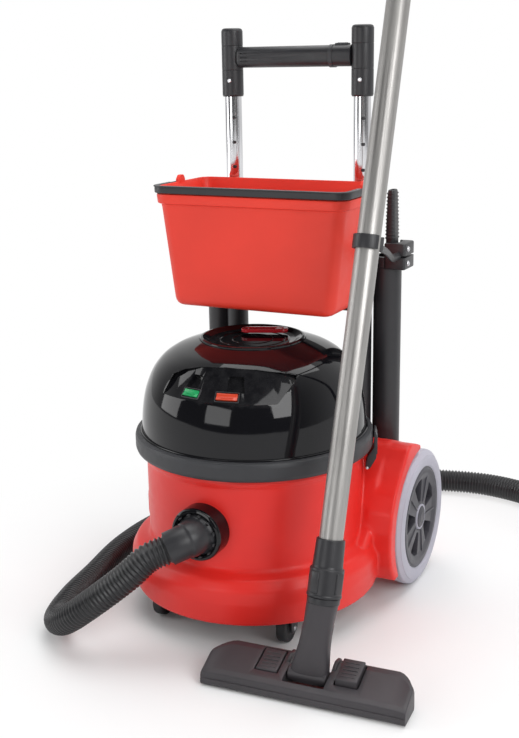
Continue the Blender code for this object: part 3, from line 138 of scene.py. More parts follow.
def spread(nt, fac, lo, hi, a=0.3, b=0.7):
    r = nt.nodes.new("ShaderNodeMapRange")
    r.inputs["From Min"].default_value = a
    r.inputs["From Max"].default_value = b
    r.inputs["To Min"].default_value = lo
    r.inputs["To Max"].default_value = hi
    nt.links.new(fac, r.inputs["Value"])
    return r.outputs[0]


def mix(nt, fac, a, b):
    m = nt.nodes.new("ShaderNodeMix")
    m.data_type = "RGBA"
    for socket, v in ((m.inputs["Factor"], fac), (m.inputs["A"], a), (m.inputs["B"], b)):
        if isinstance(v, (int, float)):
            socket.default_value = v
        elif isinstance(v, tuple):
            socket.default_value = (*v, 1.0) if len(v) == 3 else v
        else:
            nt.links.new(v, socket)
    return m.outputs["Result"]


def bump(nt, bsdf, *layers):
    """Bump layers (height, strength, distance in metres), stacked."""
    normal = None
    for height, strength, distance in layers:
        b = nt.nodes.new("ShaderNodeBump")
        b.inputs["Strength"].default_value = strength
        b.inputs["Distance"].default_value = distance
        nt.links.new(height, b.inputs["Height"])
        if normal:
            nt.links.new(normal, b.inputs["Normal"])
        normal = b.outputs["Normal"]
    nt.links.new(normal, bsdf.inputs["Normal"])


def tint(rgb, k):
    return tuple(min(1.0, c * k) for c in rgb)


def moulded(name, rgb, rough, grain=1500.0, grain_depth=0.00006, grain_strength=0.25, mottle=0.1, wave=0.06, worn=0.25, coat=0.0,
        scuff=0.12, spec=0.5):
    """Moulded plastic: slow colour drift, fine surface grain, scuffs in the gloss and rubbed edges."""
    m, nt, b = new_material(name)
    vec = coords(nt)
    slow = noise(nt, vec, 7.0, 4)
    fine = noise(nt, vec, grain, 2)
    rub = noise(nt, vec, 60.0, 6, 0.7)
    base = mix(nt, spread(nt, slow, 0, 1), tint(rgb, 1 - mottle), tint(rgb, 1 + mottle))
    geo = nt.nodes.new("ShaderNodeNewGeometry")
    edge = spread(nt, geo.outputs["Pointiness"], 0.0, 1.0, 0.53, 0.62)
    part = nt.nodes.new("ShaderNodeMath")
    part.operation = "MULTIPLY"
    nt.links.new(edge, part.inputs[0])
    nt.links.new(spread(nt, rub, 0.0, worn, 0.35, 0.7), part.inputs[1])
    worn_rgb = tuple(min(1.0, c * 1.35 + 0.035) for c in rgb)
    nt.links.new(mix(nt, part.outputs[0], base, worn_rgb), b.inputs["Base Color"])
    nt.links.new(spread(nt, rub, rough * (1 - scuff), rough * (1 + scuff * 1.6), 0.3, 0.75), b.inputs["Roughness"])
    b.inputs["Coat Weight"].default_value = coat
    b.inputs["Specular IOR Level"].default_value = spec
    b.inputs["Coat Roughness"].default_value = 0.08
    bump(nt, b, (noise(nt, vec, 28.0, 2), wave, 0.0006), (fine, grain_strength, grain_depth))
    return m


def metal(name, rgb, rough, streak=(300, 300, 5), depth=0.35, drift=0.1, var=0.35, metallic=1.0):
    """Drawn or turned metal: streaks along the piece in gloss, tone and relief."""
    m, nt, b = new_material(name)
    line = noise(nt, coords(nt, streak), 1.0, 4, 0.6)
    slow = noise(nt, coords(nt), 9.0, 3)
    tone = mix(nt, spread(nt, slow, 0, 1), tint(rgb, 1 - drift), tint(rgb, 1 + drift * 0.6))
    nt.links.new(mix(nt, spread(nt, line, 0.0, 0.18), tone, tint(rgb, 0.6)), b.inputs["Base Color"])
    nt.links.new(spread(nt, line, rough * (1 - var), rough * (1 + var)), b.inputs["Roughness"])
    b.inputs["Metallic"].default_value = metallic
    bump(nt, b, (line, depth, 0.00003))
    return m


def woven(name, rgb, thread=900.0):
    """Woven cloth: two crossed thread waves, tone and relief."""
    m, nt, b = new_material(name)
    vec = coords(nt)
    warp = nt.nodes.new("ShaderNodeTexWave")
    warp.inputs["Scale"].default_value = thread / 6.28
    warp.bands_direction = "X"
    weft = nt.nodes.new("ShaderNodeTexWave")
    weft.inputs["Scale"].default_value = thread / 6.28
    weft.bands_direction = "Y"
    for wv in (warp, weft):
        wv.inputs["Distortion"].default_value = 1.2
        nt.links.new(vec, wv.inputs["Vector"])
    weave = mix(nt, 0.5, warp.outputs["Color"], weft.outputs["Color"])
    nt.links.new(mix(nt, weave, tint(rgb, 0.75), tint(rgb, 1.1)), b.inputs["Base Color"])
    b.inputs["Roughness"].default_value = 0.9
    b.inputs["Sheen Weight"].default_value = 0.3
    bump(nt, b, (weave, 0.5, 0.0003))
    return m


RED = moulded("red_moulding", (0.76, 0.024, 0.018), 0.4, grain=1400, grain_strength=0.18, mottle=0.07, worn=0.5, coat=0.05, spec=0.36)
CADDY_RED = moulded("caddy_red", (0.8, 0.044, 0.024), 0.44, grain=1200, grain_strength=0.25, mottle=0.06, worn=0.5, spec=0.38)
GLOSS = moulded("polished_black", (0.0045, 0.0045, 0.006), 0.055, grain=2600, grain_strength=0.03, mottle=0.2, wave=0.05, worn=0.3,
    coat=0.0, scuff=0.35, spec=0.36)
SATIN = moulded("satin_black", (0.02, 0.02, 0.023), 0.4, grain=1600, grain_strength=0.35, mottle=0.15, worn=0.5)
RINGED = moulded("bumper_black", (0.03, 0.031, 0.035), 0.5, grain=1900, grain_strength=0.45, mottle=0.15, worn=0.5)
TOOLED = moulded("tool_black", (0.04, 0.036, 0.041), 0.46, grain=1500, grain_strength=0.5, mottle=0.18, worn=0.6)
RUBBER = moulded("black_rubber_dull", (0.018, 0.018, 0.02), 0.62, grain=900, grain_strength=0.6, mottle=0.25, worn=0.4)
TYRE = moulded("grey_rubber", (0.44, 0.43, 0.5), 0.55, grain=1100, grain_strength=0.5, mottle=0.08, worn=0.4)
HUB = moulded("hub_grey", (0.06, 0.058, 0.07), 0.42, grain=1400, grain_strength=0.4, mottle=0.15, worn=0.7)
HOSE = moulded("hose_black", (0.014, 0.014, 0.016), 0.36, grain=1300, grain_strength=0.25, mottle=0.25, worn=0.5)
GREEN = moulded("switch_green", (0.01, 0.32, 0.1), 0.3, mottle=0.06)
ORANGE = moulded("switch_red", (0.6, 0.055, 0.02), 0.3, mottle=0.06)
CRANK = moulded("crank_red", (0.46, 0.01, 0.018), 0.22, mottle=0.1, coat=0.3)
ALU = metal("satin_aluminium", (0.415, 0.405, 0.392), 0.44, metallic=0.85)
CHROME = metal("bright_chrome", (0.74, 0.74, 0.76), 0.1, streak=(150, 150, 4), depth=0.1, var=0.3)
ZINC = metal("zinc_plate", (0.6, 0.6, 0.62), 0.3, streak=(90, 90, 90), depth=0.25)
CLOTH = woven("filter_cloth_weave", (0.72, 0.71, 0.67))
BRISTLE = metal("bristles", (0.02, 0.02, 0.022), 0.6, streak=(1400, 60, 30), depth=1.0, metallic=0.0)

f_mat, f_nt, f_b = new_material("studio_floor")
f_vec = coords(f_nt)
f_nt.links.new(mix(f_nt, spread(f_nt, noise(f_nt, f_vec, 3.0, 3), 0, 1), (0.86, 0.86, 0.865), (0.88, 0.88, 0.88)), f_b.inputs["Base Color"])
f_b.inputs["Roughness"].default_value = 0.75
f_b.inputs["Specular IOR Level"].default_value = 0.15
# away from the machine the studio floor turns to plain white, as a lit sweep does
f_far = f_nt.nodes.new("ShaderNodeVectorMath")
f_far.operation = "LENGTH"
f_nt.links.new(f_vec, f_far.inputs[0])
f_mix = f_nt.nodes.new("ShaderNodeMixShader")
f_white = f_nt.nodes.new("ShaderNodeEmission")
f_white.inputs["Color"].default_value = (1.0, 1.0, 1.0, 1)
f_white.inputs["Strength"].default_value = 1.0
f_nt.links.new(spread(f_nt, f_far.outputs["Value"], 0.0, 1.0, 0.3, 0.72), f_mix.inputs[0])
f_nt.links.new(f_b.outputs[0], f_mix.inputs[1])
f_nt.links.new(f_white.outputs[0], f_mix.inputs[2])
f_nt.links.new(f_mix.outputs[0], next(n for n in f_nt.nodes if n.type == "OUTPUT_MATERIAL").inputs["Surface"])


# ==================================================================================== mesh making
def mesh_object(name, verts, faces, mat, sharp=32, at=None):
    me = bpy.data.meshes.new(name)
    me.from_pydata([tuple(v) for v in verts], [], faces)
    me.materials.append(mat)
    bm = bmesh.new()
    bm.from_mesh(me)
    bmesh.ops.remove_doubles(bm, verts=bm.verts, dist=1e-6)
    bmesh.ops.recalc_face_normals(bm, faces=bm.faces)
    bm.to_mesh(me)
    bm.free()
    me.shade_smooth()
    me.set_sharp_from_angle(angle=radians(sharp))
    ob = bpy.data.objects.new(name, me)
    SCENE.collection.objects.link(ob)
    if at is not None:
        ob.matrix_world = at
    return ob


def skin(rings, close_ends=True):
    """Faces over a list of rings, which all have the same number of points."""
    n = len(rings[0])
    verts = [p for r in rings for p in r]
    faces = []
    for i in range(len(rings) - 1):
        for j in range(n):
            k = (j + 1) % n
            faces.append((i * n + j, i * n + k, (i + 1) * n + k, (i + 1) * n + j))
    if close_ends:
        faces.append(tuple(range(n))[::-1])
        faces.append(tuple(range((len(rings) - 1) * n, len(rings) * n)))
    return verts, faces


def soften(pts, closed=False, n=4):
    """Points (x, y, radius): corners with a radius become arcs."""
    out = []
    m = len(pts)
    for i, p in enumerate(pts):
        r = p[2] if len(p) > 2 else 0.0
        if not r or (not closed and i in (0, m - 1)):
            out.append((p[0], p[1]))
            continue
        c, a, b = (Vector(q[:2]) for q in (p, pts[i - 1], pts[(i + 1) % m]))
        u, v = (a - c).normalized(), (b - c).normalized()
        half = acos(max(-1.0, min(1.0, u.dot(v)))) / 2
        if half < 0.02 or half > 1.55:
            out.append((p[0], p[1]))
            continue
        d = min(r / tan(half), (a - c).length * 0.49, (b - c).length * 0.49)
        s, e = c + u * d, c + v * d
        for k in range(n + 1):
            t = k / n
            out.append(tuple(s * (1 - t) ** 2 + c * 2 * t * (1 - t) + e * t ** 2))
    return out


def mm(points):
    """Points given in millimetres."""
    return [tuple(round(c / 1000, 8) for c in p) for p in points]


def oval(wx, wy, e, steps):
    """A closed outline between an ellipse (e = 1) and a box (e small)."""
    turns = [2 * pi * k / steps for k in range(steps)]
    return [(wx * copysign(abs(cos(t)) ** e, cos(t)), wy * copysign(abs(sin(t)) ** e, sin(t))) for t in turns]


def spun(degrees):
    return Matrix.Rotation(radians(degrees), 4, "Z")


def curve_through(pts, steps=6):
    """A smooth line through 2-D points."""
    p = [Vector(q) for q in pts]
    p = [p[0] * 2 - p[1], *p, p[-1] * 2 - p[-2]]
    out = []
    for a, b, c, d in zip(p, p[1:], p[2:], p[3:]):
        for k in range(steps):
            t = k / steps
            out.append(0.5 * (2 * b + (c - a) * t + (2 * a - 5 * b + 4 * c - d) * t * t + (3 * b - a - 3 * c + d) * t ** 3))
    return [tuple(q) for q in out] + [tuple(p[-2])]


def lathe(name, profile, mat, steps=96, at=None, closed=False, sharp=32):
    """A turned piece about Z from (radius, height) points, with a third number where a corner is rounded."""
    profile = soften(profile)
    prof = profile + ([profile[0]] if closed else [])
    rings = [[(r * cos(2 * pi * k / steps), r * sin(2 * pi * k / steps), z) for k in range(steps)] for r, z in prof]
    return mesh_object(name, *skin(rings, close_ends=False), mat, sharp, at)


def rect_ring(x0, x1, y0, y1, r, z, n=8, side=1):
    """A rounded rectangle at height z, anticlockwise, with extra points along its sides."""
    pts = []
    for cx, cy, a in ((x1 - r, y1 - r, 0), (x0 + r, y1 - r, 90), (x0 + r, y0 + r, 180), (x1 - r, y0 + r, 270)):
        pts += [(cx + r * cos(radians(a + 90 * k / n)), cy + r * sin(radians(a + 90 * k / n)), z) for k in range(n + 1)]
    if side > 1:
        out = []
        for i, p in enumerate(pts):
            out.append(p)
            if i % (n + 1) == n:
                q = pts[(i + 1) % len(pts)]
                out += [tuple(p[a] + (q[a] - p[a]) * k / side for a in range(3)) for k in range(1, side)]
        pts = out
    return pts


def slab(name, lo, hi, mat, r, axis="Z", edge=0.001, at=None, n=6):
    """A rounded bar between two corners: r rounds the outline seen along axis, edge its two ends."""
    order = {"Z": (0, 1, 2), "Y": (2, 0, 1), "X": (1, 2, 0)}[axis]
    (x0, y0, z0), (x1, y1, z1) = [tuple(c[order[i]] for i in range(3)) for c in (lo, hi)]
    rings = []
    for z, k in ((z0, 1.0), (z0 + edge * 0.3, 0.35), (z0 + edge, 0.0), (z1 - edge, 0.0), (z1 - edge * 0.3, 0.35), (z1, 1.0)):
        d = edge * k
        ring = rect_ring(x0 + d, x1 - d, y0 + d, y1 - d, max(r - d, 0.0002), z, n)
        back = []
        for p in ring:
            q = [0, 0, 0]
            for i in range(3):
                q[order[i]] = p[i]
            back.append(tuple(q))
        rings.append(back)
    return mesh_object(name, *skin(rings), mat, 40, at)


def resample(pts, step):
    pts = [Vector(p) for p in pts]
    run = [0.0]
    for a, b in zip(pts, pts[1:]):
        run.append(run[-1] + (b - a).length)
    count = max(2, int(round(run[-1] / step)) + 1)
    out, j = [], 0
    for k in range(count):
        want = run[-1] * k / (count - 1)
        while j < len(run) - 2 and run[j + 1] < want:
            j += 1
        f = (want - run[j]) / max(run[j + 1] - run[j], 1e-9)
        out.append(pts[j].lerp(pts[j + 1], min(1.0, max(0.0, f))))
    return out, run[-1]


def sweep(name, pts, radius, mat, seg=24, section=None, sharp=50, up=None):
    """A tube along points; radius is a number or a function of (index, points). section is an outline (a, b) per unit."""
    pts = [Vector(p) for p in pts]
    tang = [(pts[min(i + 1, len(pts) - 1)] - pts[max(i - 1, 0)]).normalized() for i in range(len(pts))]
    n0 = Vector(up) if up else (Vector((0, 0, 1)) if abs(tang[0].z) < 0.9 else Vector((1, 0, 0)))
    side = tang[0].cross(n0).normalized()
    rings = []
    for i, (p, t) in enumerate(zip(pts, tang)):
        side = (side - t * side.dot(t)).normalized()
        other = t.cross(side)
        r = radius(i, len(pts)) if callable(radius) else radius
        if section:
            rings.append([tuple(p + side * (a * r) + other * (b * r)) for a, b in section])
        else:
            rings.append([tuple(p + side * (r * cos(2 * pi * k / seg)) + other * (r * sin(2 * pi * k / seg))) for k in range(seg)])
    return mesh_object(name, *skin(rings), mat, sharp)


def push(name, outline, lo, hi, mat, plane="XY", edge=0.0, seg=3, at=None, sharp=32):
    """A flat outline pushed from lo to hi along the third axis, with rounded edges."""
    outline = soften(outline, closed=True)
    place = {"XY": lambda a, b, c: (a, b, c), "YZ": lambda a, b, c: (c, a, b), "XZ": lambda a, b, c: (a, -c, b)}[plane]
    if plane == "XZ":
        lo, hi = -hi, -lo
    rings = [[place(a, b, c) for a, b in outline] for c in (lo, hi)]
    v, f = skin(rings)
    ob = mesh_object(name, v, f, mat, sharp, at)
    return round_edges(ob, edge, seg, sharp=sharp) if edge else ob


def settle(ob, sharp=32):
    """Applies the modifiers."""
    bpy.context.view_layer.update()
    dg = bpy.context.evaluated_depsgraph_get()
    me = bpy.data.meshes.new_from_object(ob.evaluated_get(dg))
    old = ob.data
    ob.modifiers.clear()
    ob.data = me
    bpy.data.meshes.remove(old)
    me.shade_smooth()
    me.set_sharp_from_angle(angle=radians(sharp))
    return ob


def carve(ob, *tools, op="DIFFERENCE"):
    for t in tools:
        m = ob.modifiers.new(op.lower(), "BOOLEAN")
        m.operation, m.solver, m.object = op, "EXACT", t
    settle(ob)
    for t in tools:
        bpy.data.objects.remove(t, do_unlink=True)
    return ob


def round_edges(ob, width, seg=2, angle=40, sharp=32):
    m = ob.modifiers.new("edges", "BEVEL")
    m.width, m.segments, m.limit_method, m.angle_limit = width, seg, "ANGLE", radians(angle)
    m.use_clamp_overlap = True
    return settle(ob, sharp)


def ready(ob, body, *nodes, slot=None):
    """Moves a finished piece from the tub's axis to its place and ties it to the frame."""
    ob.matrix_world = Matrix.Translation(AXIS) @ ob.matrix_world
    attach(ob, body)
    if nodes:
        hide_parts(*nodes)
    return ob


def turn_to(direction):
    return Vector((0, 0, 1)).rotation_difference(Vector(direction).normalized()).to_matrix().to_4x4()


def here(x=0.0, y=0.0, z=0.0, rot=None):
    m = Matrix.Translation((x, y, z))
    return m @ rot if rot is not None else m


def dress(node, mat):
    ob = NODES[node]
    ob.data.materials.clear()
    ob.data.materials.append(mat)


# =============================================================================================== floor
floor = mesh_object("studio_floor", [(-7, -7, 0), (7, -7, 0), (7, 7, 0), (-7, 7, 0)], [(0, 1, 2, 3)], f_mat)


# ================================================================================================ hose
INLET_Z = 0.176
HOSE_R = 0.021
CUFF = [Vector(p) for p in ((0.0, -0.15, INLET_Z), (0.0, -0.193, INLET_Z), (-0.0035, -0.203, INLET_Z - 0.0015),
    (-0.012, -0.2135, INLET_Z - 0.005), (-0.0235, -0.2225, INLET_Z - 0.0105))]
out_dir = (CUFF[-1] - CUFF[-2]).normalized()
WAND_BASE = Vector((0.2043, -0.1963, 0.1793))
WAND_DIR = Vector((0.01, 0.295, 0.9555)).normalized()
WAND_R, WAND_LEN = 0.016, 0.933
BEND_R = 0.0145
side_dir = Vector((0.93, 0.1, 0.0)) - WAND_DIR * Vector((0.93, 0.1, 0.0)).dot(WAND_DIR)
side_dir.normalize()
CURVE_R, BEND = 0.11, radians(62)
bend_mid = WAND_BASE + WAND_DIR * (WAND_LEN + 0.012) + side_dir * CURVE_R
bend_pts = [WAND_BASE + WAND_DIR * (WAND_LEN - 0.045)]
bend_pts += [bend_mid - side_dir * CURVE_R * cos(BEND * i / 24) + WAND_DIR * CURVE_R * sin(BEND * i / 24) for i in range(25)]
end_dir = (side_dir * sin(BEND) + WAND_DIR * cos(BEND)).normalized()
bend_end = bend_pts[-1] + end_dir * 0.045
hose_end = bend_end + end_dir * 0.0603

TURN_R = 0.172                   # the drape from the wand's bent end
end_out = Vector((end_dir.x, end_dir.y, 0)).normalized()
rise = asin(end_dir.z)
turn_hub = hose_end + end_dir * 0.016 + (end_out * sin(rise) - Vector((0, 0, 1)) * cos(rise)) * TURN_R
OVER = [turn_hub + end_out * (TURN_R * cos(radians(a))) + Vector((0, 0, TURN_R * sin(radians(a)))) for a in (0, 24, 48, 72, 96)]
ROUTE = [CUFF[-1] + out_dir * 0.0003, CUFF[-1] + out_dir * 0.03] + [Vector(p) for p in ((-0.07, -0.255, 0.13), (-0.12, -0.273, 0.087),
    (-0.173, -0.266, 0.046), (-0.214, -0.23, 0.0235), (-0.236, -0.165, HOSE_R), (-0.25, -0.08, HOSE_R), (-0.268, 0.03, HOSE_R),
    (-0.264, 0.14, HOSE_R), (-0.225, 0.26, HOSE_R), (-0.148, 0.38, HOSE_R), (-0.035, 0.485, HOSE_R), (0.1, 0.542, HOSE_R),
    (0.22, 0.562, HOSE_R), (0.34, 0.522, HOSE_R), (0.45, 0.42, HOSE_R + 0.001), (0.529, 0.337, 0.05), (0.58, 0.282, 0.126),
    (0.6, 0.256, 0.23), (0.605, 0.238, 0.45), (0.606, 0.223, 0.7), (0.605, 0.212, 0.9))] + OVER + [hose_end + end_dir * 0.016, hose_end]


def smooth_route(pts, per=24):
    """A Catmull-Rom line through the route's own points, spaced by the root of their distance."""
    fine = []
    ext = [pts[0] * 2 - pts[1], *pts, pts[-1] * 2 - pts[-2]]
    for p0, p1, p2, p3 in zip(ext, ext[1:], ext[2:], ext[3:]):
        t1 = (p1 - p0).length ** 0.5
        t2 = t1 + (p2 - p1).length ** 0.5
        t3 = t2 + (p3 - p2).length ** 0.5
        for k in range(per):
            u = t1 + (t2 - t1) * k / per
            a1 = p0 * ((t1 - u) / t1) + p1 * (u / t1)
            a2 = p1 * ((t2 - u) / (t2 - t1)) + p2 * ((u - t1) / (t2 - t1))
            a3 = p2 * ((t3 - u) / (t3 - t2)) + p3 * ((u - t2) / (t3 - t2))
            b1 = a1 * ((t2 - u) / t2) + a2 * (u / t2)
            b2 = a2 * ((t3 - u) / (t3 - t1)) + a3 * ((u - t1) / (t3 - t1))
            fine.append(b1 * ((t2 - u) / (t2 - t1)) + b2 * ((u - t1) / (t2 - t1)))
    fine.append(pts[-1])
    return fine


RIB = 0.006                     # pitch of the hose's ribs
PER_RIB = 6
centre, hose_len = resample(smooth_route(ROUTE), RIB / PER_RIB)
centre = [Vector((p.x, p.y, max(p.z, HOSE_R))) for p in centre]
rib_r = [0.021, 0.021, 0.0197, 0.0186, 0.0186, 0.0197]
hose = sweep("hose_ribbed", centre, lambda i, n: rib_r[i % PER_RIB], HOSE, seg=28, sharp=80)
ready(hose, "chassis", "hose_tube")

cuff_line, cuff_len = resample(smooth_route(CUFF), 0.0012)


def cuff_radius(i, n):
    s = cuff_len * i / (n - 1)
    for a, b, r0, r1 in ((0.0, 0.036, 0.03, 0.03), (0.036, 0.04, 0.03, 0.0268), (0.04, 0.056, 0.0268, 0.0256),
            (0.056, 0.0575, 0.0256, 0.0244), (0.0575, 0.07, 0.0244, 0.024), (0.07, 0.2, 0.024, 0.0232)):
        if s <= b:
            return r0 + (r1 - r0) * (s - a) / (b - a)
    return 0.0232


cuff = sweep("hose_cuff_at_tub", cuff_line, cuff_radius, SATIN, seg=48, sharp=28)
ready(cuff, "chassis", "hose_cuff_machine", slot="hose_plastic")
wand_cuff = lathe("hose_cuff_at_wand", [(0, 0.06), (0.0215, 0.06, 0.001), (0.0235, 0.058, 0.001), (0.0235, 0.048, 0.0005),
    (0.0224, 0.047, 0.0005), (0.0224, 0.043, 0.0005), (0.0235, 0.042, 0.0005), (0.0235, 0.038, 0.0005), (0.0224, 0.037, 0.0005),
    (0.0224, 0.033, 0.0005), (0.0235, 0.032, 0.0005), (0.0235, 0.02, 0.002), (0.02, 0.01, 0.004), (0.019, -0.024, 0.001), (0.018, -0.025),
    (BEND_R + 0.0003, -0.025), (BEND_R + 0.0003, 0.0008), (0, 0.0008)], SATIN, 64, Matrix.Translation(bend_end) @ turn_to(end_dir))
ready(wand_cuff, "wand", "hose_cuff_wand", slot="hose_plastic")

for node, mat in (("base_plate", SATIN), ("filter_bag", CLOTH), ("cloth_filter", CLOTH), ("motor_housing", SATIN), ("fan_rotor", ZINC),
        ("caddy_bracket", SATIN), ("cable_gland", RUBBER), ("stub_axle_left", ZINC), ("stub_axle_right", ZINC), ("caster_pin_left", ZINC),
        ("caster_pin_right", ZINC), ("brush_strip", BRISTLE), ("sole_plate", ZINC)):
    dress(node, mat)

# ================================================================================= tub and housings
TUB_R, TUB_TOP, SKIRT_R, SKIRT_LOW, CREASE = 0.163, 0.2537, 0.1915, 0.043, 0.116
skin_line = soften([(0, TUB_TOP), (TUB_R + 0.003, TUB_TOP, 0.001), (TUB_R + 0.0038, TUB_TOP - 0.006, 0.003),
    (TUB_R, TUB_TOP - 0.014, 0.004), (TUB_R, CREASE + 0.002, 0.008), (TUB_R + 0.007, CREASE - 0.001, 0.003),
    (SKIRT_R - 0.0085, CREASE - 0.005, 0.008), (SKIRT_R - 0.0003, CREASE - 0.02, 0.012), (SKIRT_R - 0.0002, CREASE - 0.038, 0.02),
    (SKIRT_R - 0.0055, SKIRT_LOW, 0.002), (0, SKIRT_LOW)], n=6)
shell = lathe("tub_skin", skin_line, RED, 144)
house_line = soften([(-0.03, SKIRT_LOW), (0.25, SKIRT_LOW, 0.01), (0.2565, SKIRT_LOW + 0.012, 0.01), (0.257, 0.17, 0.02),
    (0.244, 0.1965, 0.02), (0.14, 0.238, 0.03), (0.12, 0.244, 0.014), (0.104, 0.242, 0.014), (0.087, 0.226, 0.02), (0.05, 0.197, 0.022),
    (0.034, 0.165, 0.03), (0.024, 0.134, 0.014), (0.006, 0.121, 0.014), (-0.01, 0.108, 0.016), (-0.03, 0.06)], closed=True, n=6)
house = push("housing", house_line, -0.183, 0.183, RED, "YZ", edge=0.012, seg=5)
under = lathe("under", [(0, 0.069), (SKIRT_R - 0.012, 0.069), (SKIRT_R - 0.0085, 0.058), (SKIRT_R - 0.009, 0.0), (0, 0.0)], RED, 96)
carve(shell, house, op="UNION")
# wheel arches: they stand out over the front and the top of the wheels
arch_line = soften(mm([(47, 45, 4), (75, 45, 2), (120, 110), (158, 190), (160, 228.5, 4), (140, 236.5, 20), (122, 241.5, 10),
    (112, 242, 10), (100, 239, 12), (87, 225, 20), (66, 207, 30), (44, 185, 30), (30, 158, 30), (23.5, 128, 30), (23.5, 100, 30),
    (30, 72, 30)]), closed=True, n=5)
for s in (-1, 1):
    lo, hi = (0.17, 0.2115) if s > 0 else (-0.2115, -0.17)
    arch = push("arch", arch_line, lo, hi, RED, "YZ", edge=0.005, seg=4)
    well = lathe("well", mm([(0, 184.2), (113, 184.2), (113, 250), (0, 250)]), RED, 128, here(0, 0.1606, 0.108, turn_to((s, 0, 0))))
    carve(arch, well)
    carve(shell, arch, op="UNION")
carve(shell, under)
under2 = push("under2", mm([(34, 0), (246, 0), (246, 62), (34, 62)]), -0.176, 0.176, RED, "YZ")
bore = lathe("bore", mm([(0, 300), (157, 300), (157, 90), (0, 90)]), RED, 96)
carve(shell, under2, bore)
vox = shell.modifiers.new("flow", "REMESH")
vox.mode, vox.voxel_size = "VOXEL", 0.0021
sm = shell.modifiers.new("relax", "SMOOTH")
sm.factor, sm.iterations = 0.5, 7
settle(shell, 60)
ready(shell, "chassis", "body_shell", "arch_left", "arch_right")
# turned rim of the tub: a crisp bead right under the head's ring
rim = lathe("tub_rim_bead", [(0.16, TUB_TOP), (TUB_R + 0.0034, TUB_TOP, 0.001), (TUB_R + 0.0046, TUB_TOP - 0.005, 0.002),
    (TUB_R + 0.003, TUB_TOP - 0.0105, 0.001), (0.16, TUB_TOP - 0.0105)], RED, 144, closed=True)
ready(rim, "chassis")

# suction inlet: a ring with a raised lip and bayonet ribs
FRONT = turn_to((0, -1, 0))
inlet = lathe("inlet_bezel", mm([(30, 150), (30, 183, 1), (31.2, 188, 1), (34.5, 189.5, 1), (37.8, 188, 1.5), (39, 185, 1), (39, 160),
    (30, 150)]), GLOSS, 96, here(0, 0, INLET_Z, FRONT))
ready(inlet, "chassis", "inlet_ring")
for k in range(12):
    a = radians(15 + 30 * k)
    rib = slab(f"inlet_rib_{k}", (-0.0022, 0.03, 0.1872), (0.0022, 0.0325, 0.1925), SATIN, 0.0006, "Z", 0.0006,
        here(0, 0, INLET_Z, FRONT) @ Matrix.Rotation(a, 4, "Z"), 2)
    ready(rib, "chassis", slot="hose_plastic")


# ================================================================================================ head
T = 0.4235
dome_line = curve_through([(0.0, T), (0.05, T - 0.0015), (0.075, T - 0.005), (0.0885, T - 0.0088), (0.1, T - 0.0125), (0.111, T - 0.0166),
    (0.12, T - 0.0212), (0.13, T - 0.0277), (0.138, T - 0.035), (0.146, T - 0.0448), (0.1522, T - 0.0555), (0.158, T - 0.0695),
    (0.1622, T - 0.083), (0.1653, T - 0.099), (0.1675, T - 0.118), (0.1685, 0.283)], 4) + [(0.1685, 0.26), (0.168, 0.259), (0, 0.259)]
dome = lathe("head_shell", dome_line, GLOSS, 160)
SLOPE = radians(49.8)
FOOT_R, FOOT_Z = 0.155, 0.36
PANEL_AZ = radians(11.0)


def cone_r(z):
    return FOOT_R - (z - FOOT_Z) / tan(SLOPE)


def on_panel(az, up, out=0.0):
    radius = FOOT_R - up * cos(SLOPE) + out * sin(SLOPE)
    place = Matrix.Translation((0, -radius, FOOT_Z + up * sin(SLOPE) + out * cos(SLOPE)))
    return Matrix.Rotation(az, 4, "Z") @ place @ Matrix.Rotation(SLOPE, 4, "X")


panel_pts = soften(mm([(-99, 360, 2), (-92, 374.5, 10), (-86.5, 386.8, 6), (-68.4, 395.1, 12), (-44, 400.5, 20), (-5, 402.9, 30),
    (37, 401.2, 20), (70, 396.8, 10), (92.5, 391.5, 3), (86, 379, 10), (73, 360, 2)]), closed=True, n=4)
block = push("panel_block", panel_pts, -0.25, -0.06, GLOSS, "XZ", at=Matrix.Rotation(PANEL_AZ, 4, "Z"))
cone = lathe("panel_cone", [(0, 0.46), (cone_r(0.46), 0.46), (cone_r(0.32), 0.32), (0, 0.32)], GLOSS, 160)
carve(block, cone)
seat = lathe("winder_seat", [(0, T + 0.02), (0.0787, T + 0.02), (0.0787, T - 0.0105), (0, T - 0.0105)], GLOSS, 96)
carve(dome, block, seat)
ROCKERS = (("rocker_green", "rocker_power", "power_switch", "bezel_power", on_panel(radians(-9.0), 0.011), 0.0125, GREEN),
           ("rocker_red", "rocker_speed", "speed_switch", "bezel_speed", on_panel(radians(12.5), 0.011), 0.015, ORANGE))
# finger pockets above the rockers, and the rockers' own slots
cuts = []
for k, (az, half, up0, up1, lean) in enumerate(((radians(-10.5), 0.01, 0.0175, 0.04, 0.003),
        (radians(17.0), 0.0125, 0.0175, 0.043, -0.002))):
    out = soften([(-half, up0, 0.002), (half, up0, 0.002), (half * 0.86 + lean, up1, 0.003), (-half * 0.86 + lean, up1, 0.003)],
        closed=True)
    p = push(f"pocket_{k}", out, -0.0065, 0.012, GLOSS, "XY", at=on_panel(az, 0.0))
    cuts.append(p)
for *_, at, half, mat in ROCKERS:
    cuts.append(slab("slot", (-half - 0.0009, -0.0064, -0.012), (half + 0.0009, 0.0064, 0.01), GLOSS, 0.0012, "Z", 0.0004, at, 3))
carve(dome, *cuts)
round_edges(dome, 0.0009, 3, 25, 24)
ready(dome, "head", "head_dome")

